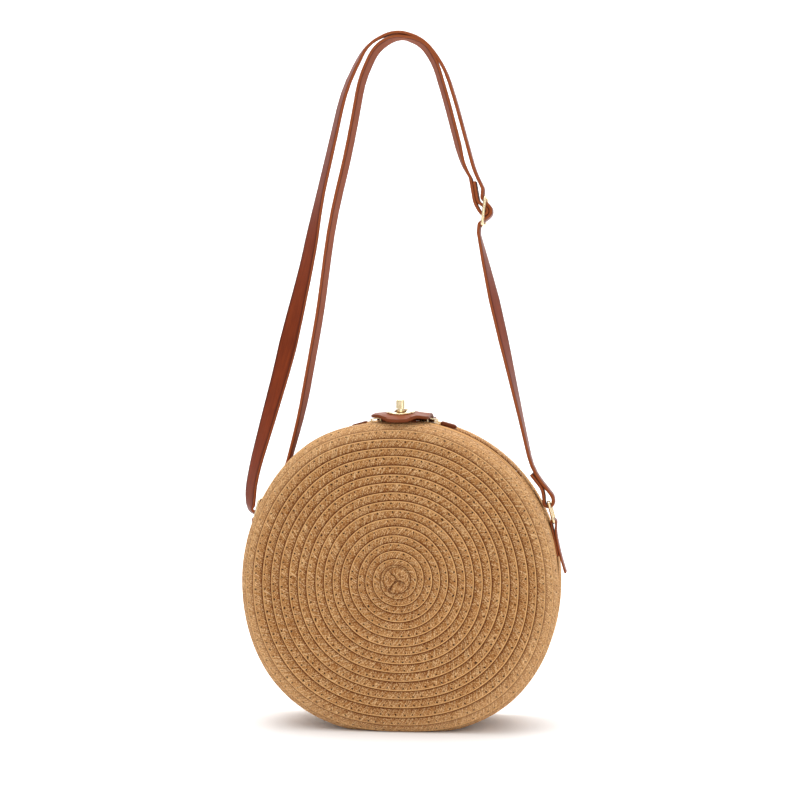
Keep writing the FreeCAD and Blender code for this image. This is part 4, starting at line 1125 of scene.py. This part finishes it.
def zip_coil(name, side):
    """A thin thread on a flattened helix: wide across the tape, low above it, carried round the top."""
    turns = int(2 * COIL_ANGLE * COIL_RADIUS / COIL_PITCH)
    step = np.linspace(0, 1, turns * 10 + 1)
    spin = 2 * np.pi * turns * step
    angle = -COIL_ANGLE + 2 * COIL_ANGLE * step
    y = side * (COIL_MIDDLE + COIL_HALF_WIDTH * np.cos(spin))
    radius = COIL_RADIUS + COIL_HALF_HEIGHT * np.sin(spin)
    middle = np.stack([radius * np.sin(angle), y, AXIS_Z + radius * np.cos(angle)], -1)
    way = unit(np.gradient(middle, axis=0))
    out = np.stack([np.sin(angle), np.zeros_like(angle), np.cos(angle)], -1)
    first = unit(np.cross(way, out))
    points = tube(middle, first, np.cross(first, way), COIL_THREAD / 2, 6)
    piece = make_piece(name, points.reshape(-1, 3), grid_faces(len(middle), 6, round_cols=True))
    print(f"{name}: {turns} turns, {triangles(piece)} triangles")
    return piece


place(zip_coil("front_coil", -1), "bag", coil_finish, "zip_coil", "zip_chain_front")
place(zip_coil("back_coil", 1), "bag", coil_finish, "zip_coil", "zip_chain_back")

# %% [markdown]
# ## Zip pulls
# Each pull is a small folded leather tab on the slider's wire link. It is a rounded pad, drawn in the
# slider's own directions and then set at its place on the curve of the bag.

# %% Leather pulls
SLIDER_ANGLE = math.radians(10.5)
PULL_TILT = math.radians(5)
PULL_START = 3.6
PULL_LENGTH = 11.0
PULL_HALF_WIDTH = 3.5
PULL_HALF_THICK = 1.45
PIN_ALONG = 1.9
PIN_RADIUS = 101.4


def leather_pull(name, side):
    """A pad with a rounded end: half width and half thickness shrink at both ends as on a rounded box."""
    along_at = np.linspace(0, 1, 33)
    ends = np.clip(np.minimum(along_at / 0.10, (1 - along_at) / 0.22), 0, 1)
    shrink = np.sqrt(1 - (1 - ends) ** 2)
    ring = circle(28)
    c, s = np.cos(ring), np.sin(ring)
    across_at = PULL_HALF_WIDTH * np.sign(c) * np.abs(c) ** 0.35
    through = PULL_HALF_THICK * np.sign(s) * np.abs(s) ** 0.6
    x = PULL_START + PULL_LENGTH * along_at[:, None]
    y = across_at[None, :] * (0.25 + 0.75 * shrink)[:, None]
    z = through[None, :] * np.maximum(shrink, 0.02)[:, None]
    tilted_x = x * math.cos(PULL_TILT) + z * math.sin(PULL_TILT)
    tilted_z = z * math.cos(PULL_TILT) - x * math.sin(PULL_TILT)
    run = PIN_ALONG + tilted_x
    high = PIN_RADIUS + tilted_z
    sideways = side * (high * math.sin(SLIDER_ANGLE) + run * math.cos(SLIDER_ANGLE))
    upward = AXIS_Z + high * math.cos(SLIDER_ANGLE) - run * math.sin(SLIDER_ANGLE)
    points = np.stack([sideways, y, upward], -1)
    rows, cols = points.shape[:2]
    count = rows * cols
    caps = [list(range(cols)), list(range(count - cols, count))]
    edge = np.tile(np.clip((np.abs(across_at) - PULL_HALF_WIDTH + 0.6) / 0.5, 0, 1), rows)
    faces = grid_faces(rows, cols, round_cols=True).tolist() + caps
    return make_piece(name, points.reshape(-1, 3), faces, edge=edge)


for side, word in SIDES:
    pull = leather_pull(f"leather_{word}_pull", side)
    place(pull, f"pull_{word}", flap_leather, "leather", f"{word}_pull")
    print(f"{pull.name}: {triangles(pull)} triangles")

# %% [markdown]
# ## Wire rings and the slide buckle
# These are round wire bent to a rectangle and soldered. A tube carried round a rectangle with rounded
# corners gives the same shape with a smooth shine.

# %% Wire frames
WIRE = 2.0
WIRE_CORNER = 2.2
WIRE_HALF_WIDTH = 8.5
WIRE_SIDES = 16


def wire_frame(name, centre, up, half_up):
    """A round tube round a rectangle with rounded corners, in the plane of up and the bag's depth."""
    quarter = np.repeat(np.arange(4), 9)
    bend = np.tile(np.linspace(0, math.pi / 2, 9), 4) + quarter * math.pi / 2
    upper = np.array([1, -1, -1, 1])[quarter] * (half_up - WIRE_CORNER)
    wider = np.array([1, 1, -1, -1])[quarter] * (WIRE_HALF_WIDTH - WIRE_CORNER)
    path = np.stack([upper + WIRE_CORNER * np.cos(bend), wider + WIRE_CORNER * np.sin(bend)], -1)
    walked = walk_along(np.vstack([path, path[:1]]))
    way = unit(np.roll(path, -1, 0) - np.roll(path, 1, 0))
    outward = np.stack([way[:, 1], -way[:, 0]], -1)
    up3 = np.array([up[0], 0.0, up[1]])
    depth3 = np.array([0.0, 1.0, 0.0])
    flat3 = np.cross(up3, depth3)
    middle = np.array([centre[0], 0, centre[1]]) + path[:, :1] * up3 + path[:, 1:] * depth3
    out3 = outward[:, :1] * up3 + outward[:, 1:] * depth3
    points = tube(middle, out3, flat3, WIRE / 2, WIRE_SIDES)
    piece = make_piece(name, points.reshape(-1, 3), grid_faces(len(path), WIRE_SIDES, True, True))
    print(f"{name}: {walked[-1]:.0f} mm of wire, {triangles(piece)} triangles")
    return piece


# %% Rings and buckle
RING_LEAN = math.radians(14.7)
RING_PITCH = 13.5
RING_MIDDLE = (95.784, 138.438)
BUCKLE_HALF = 9.2
BAR_RADIUS = 0.9
for side, word in SIDES:
    lean = (-side * math.sin(RING_LEAN), math.cos(RING_LEAN))
    centre = (side * RING_MIDDLE[0], RING_MIDDLE[1])
    ring_piece = wire_frame(f"{word}_wire_ring", centre, lean, RING_PITCH / 2)
    place(ring_piece, f"ring_{word}", gilt, "gilt_metal", f"{word}_ring")
lean = (math.sin(BUCKLE_LEAN), math.cos(BUCKLE_LEAN))
buckle_piece = wire_frame("wire_buckle", BUCKLE, lean, BUCKLE_HALF)
place(buckle_piece, "buckle", gilt, "gilt_metal", "slide_buckle")
bar_y = np.linspace(-WIRE_HALF_WIDTH, WIRE_HALF_WIDTH, 5)
bar_middle = np.stack([np.full(5, BUCKLE[0]), bar_y, np.full(5, BUCKLE[1])], -1)
bar_points = tube(bar_middle, np.array([1.0, 0.0, 0.0]), np.array([0.0, 0.0, 1.0]), BAR_RADIUS, WIRE_SIDES)
bar_faces = grid_faces(5, WIRE_SIDES, round_cols=True)
bar_piece = make_piece("wire_buckle_bar", bar_points.reshape(-1, 3), bar_faces)
place(bar_piece, "buckle", gilt, "gilt_metal")

# %% [markdown]
# ## Stitches
# The flap's back is sewn down with a box of short stitches in brown thread.
# One stitch is a small capsule; a row of them is one mesh.

# %% Stitch rows
STITCH_SIDE = 16.5
STITCH_FRONT = 12.5
STITCH_BACK = 23.0


def stitch_row(name, spots, ways, ups, length=2.2, thick=0.55):
    """Small capsules, each laid along its way with its round side up."""
    lengthwise = np.array([-0.5, -0.42, -0.2, 0.2, 0.42, 0.5]) * length
    swell = np.array([0.05, 0.7, 1.0, 1.0, 0.7, 0.05]) * thick / 2
    ring = circle(6)
    sides = np.cross(ups, ways)
    shape = (
        spots[:, None, None, :]
        + lengthwise[None, :, None, None] * ways[:, None, None, :]
        + (swell[:, None] * np.cos(ring)[None, :])[None, :, :, None] * sides[:, None, None, :]
        + (swell[:, None] * np.sin(ring)[None, :])[None, :, :, None] * ups[:, None, None, :]
    )
    faces = grid_faces(len(lengthwise), len(ring), round_cols=True)
    first_points = len(lengthwise) * len(ring) * np.arange(len(spots))
    every = (faces[None, :, :] + first_points[:, None, None]).reshape(-1, 4)
    return make_piece(name, shape.reshape(-1, 3), every)


def row_of(start, end, pitch=3.2):
    """Even places from start to end, and the way between them."""
    start, end = np.array(start, float), np.array(end, float)
    run = np.linalg.norm(end - start)
    share = (np.arange(int(run / pitch)) + 0.5) / int(run / pitch)
    return start + share[:, None] * (end - start), np.tile((end - start) / run, (len(share), 1))


box = [(-STITCH_SIDE, STITCH_FRONT, 0), (-STITCH_SIDE, STITCH_BACK, 0)]
box += [(STITCH_SIDE, STITCH_BACK, 0), (STITCH_SIDE, STITCH_FRONT, 0)]
anchor_rows = [row_of(start, end) for start, end in zip(box, box[1:] + box[:1])]
spots = np.vstack([row[0] for row in anchor_rows])
ways = np.vstack([row[1] for row in anchor_rows])
spots[:, 2] = flap_height(spots[:, 0], spots[:, 1]) + FLAP_THICK / 2 + 0.05
tilt = spots[:, 0] / FLAP_ROUND
ways[:, 2] = -tilt * ways[:, 0]
ways = unit(ways)
ups = np.stack([tilt, np.zeros_like(tilt), np.sqrt(1 - tilt**2)], -1)
place(stitch_row("anchor_stitches", spots, ways, ups), "bag", thread_finish, "leather")
print(f"{len(spots)} stitches round the flap's back")

# %% [markdown]
# ## Frame pieces that stay
# The lock's base, toggle, backing and patch, the sliders and their links, the stops, the tapes and the
# lining keep their frame shape, which is right as it is, and only take their finish.

# %% Finishes on the frame pieces
kept = {
    gilt: ["lock_base", "lock_toggle", "lock_backing", "right_slider", "left_slider", "right_pull_link"]
    + ["left_pull_link", "right_zip_stop", "left_zip_stop"],
    tape: ["zip_tape_front", "zip_tape_back"],
    cotton: ["lining_front", "lining_back", "lining_band"],
    flap_leather: ["lock_patch"],
}
for finish, names in kept.items():
    for name in names:
        nodes[name].data.materials.clear()
        nodes[name].data.materials.append(finish)
print(f"{sum(len(names) for names in kept.values())} frame pieces keep their shape")

# %% [markdown]
# ## Studio
# A pale sweep of paper, a broad soft light overhead, two weaker ones in front, a strong one on the paper
# behind and a white surround that is a little greyer to the left and the front, as for a shop photograph.
# The camera stands a little to the right and a little above, far enough away for a long lens.

# %% Paper sweep and surround
SWEEP_ROUND = 900.0
SWEEP_FRONT = -2500.0
SWEEP_SIZE = 3500.0
bend = np.linspace(0, math.pi / 2, 25)
sweep_y = np.concatenate(
    [[SWEEP_FRONT, -800.0, 0.0], SWEEP_ROUND + SWEEP_ROUND * np.sin(bend), [2 * SWEEP_ROUND]]
)
sweep_z = np.concatenate([[0.0, 0.0, 0.0], SWEEP_ROUND * (1 - np.cos(bend)), [SWEEP_SIZE]])
sweep_x = np.linspace(-SWEEP_SIZE, SWEEP_SIZE, 9)
sweep = np.broadcast_arrays(sweep_x[None, :], sweep_y[:, None], sweep_z[:, None])
sweep_points = np.stack(sweep, -1)
paper, _, _ = new_finish("studio_paper")
set_finish(paper, {"Base Color": (0.93, 0.93, 0.93, 1.0), "Roughness": 0.9, "Specular IOR Level": 0.1})
floor = make_piece("studio_sweep", sweep_points.reshape(-1, 3), grid_faces(len(sweep_y), len(sweep_x)))
floor.data.materials.append(paper)

world = bpy.data.worlds.new("studio")
bpy.context.scene.world = world
world.use_nodes = True
surround = world.node_tree.nodes["Background"]
way_out = Tone(world.node_tree.nodes.new("ShaderNodeTexCoord").outputs["Generated"])
to_left = way_out.part(0).between(-0.1, -0.7)
to_front = way_out.part(1).between(-0.1, -0.7)
shade = to_left.math("MAXIMUM", to_front).mixed((1.0, 1.0, 1.0, 1.0), (0.8, 0.8, 0.8, 1.0))
world.node_tree.links.new(shade.socket, surround.inputs["Color"])
surround.inputs["Strength"].default_value = 0.95
print("paper sweep and pale surround")

# %% Lights


def soft_light(name, place_at, aim_at, wide, power):
    """A square area light at a place, turned to an aim point, in metres and watts."""
    lamp = bpy.data.lights.new(name, "AREA")
    lamp.shape = "SQUARE"
    lamp.size = wide
    lamp.energy = power
    holder = bpy.data.objects.new(name, lamp)
    bpy.context.scene.collection.objects.link(holder)
    holder.location = place_at
    way = np.array(aim_at) - np.array(place_at)
    yaw = math.atan2(way[0], -way[1])
    pitch = math.atan2(math.hypot(way[0], way[1]), -way[2])
    holder.rotation_euler = (pitch, 0, math.pi + yaw)
    print(f"{name} light: {power} W")


soft_light("overhead", (-0.25, -0.35, 1.5), (0, 0, 0.15), 1.1, 6)
soft_light("front_right", (0.8, -1.7, 1.1), (0, 0, 0.2), 1.2, 5)
soft_light("front_card", (0.2, -2.1, 0.3), (0, 0, 0.2), 0.5, 3)
soft_light("backdrop", (0.0, 0.5, 1.9), (0, 1.8, 0.9), 1.8, 45)

# %% Camera
AZIMUTH = math.radians(6.83)
PITCH = math.radians(1.62)
DISTANCE = 1.4
AIM_SIDE = -2.75
AIM_HEIGHT = 210.09
SENSOR = 36.0
FOCAL_PIXELS = 2154.5
PICTURE_PIXELS = 800
forward = np.array(
    [-math.sin(AZIMUTH) * math.cos(PITCH), math.cos(AZIMUTH) * math.cos(PITCH), -math.sin(PITCH)]
)
aim = np.array([AIM_SIDE * math.cos(AZIMUTH), AIM_SIDE * math.sin(AZIMUTH), AIM_HEIGHT]) * MM
camera = bpy.data.cameras.new("camera")
camera.sensor_width = SENSOR
camera.lens = FOCAL_PIXELS / PICTURE_PIXELS * SENSOR
camera.dof.use_dof = False
tripod = bpy.data.objects.new("camera", camera)
bpy.context.scene.collection.objects.link(tripod)
tripod.location = aim - forward * DISTANCE
tripod.rotation_euler = (math.pi / 2 - PITCH, 0, AZIMUTH)
bpy.context.scene.camera = tripod
bpy.context.scene.view_settings.view_transform = "Standard"
print(f"camera {DISTANCE} m away with a {camera.lens:.0f} mm lens")
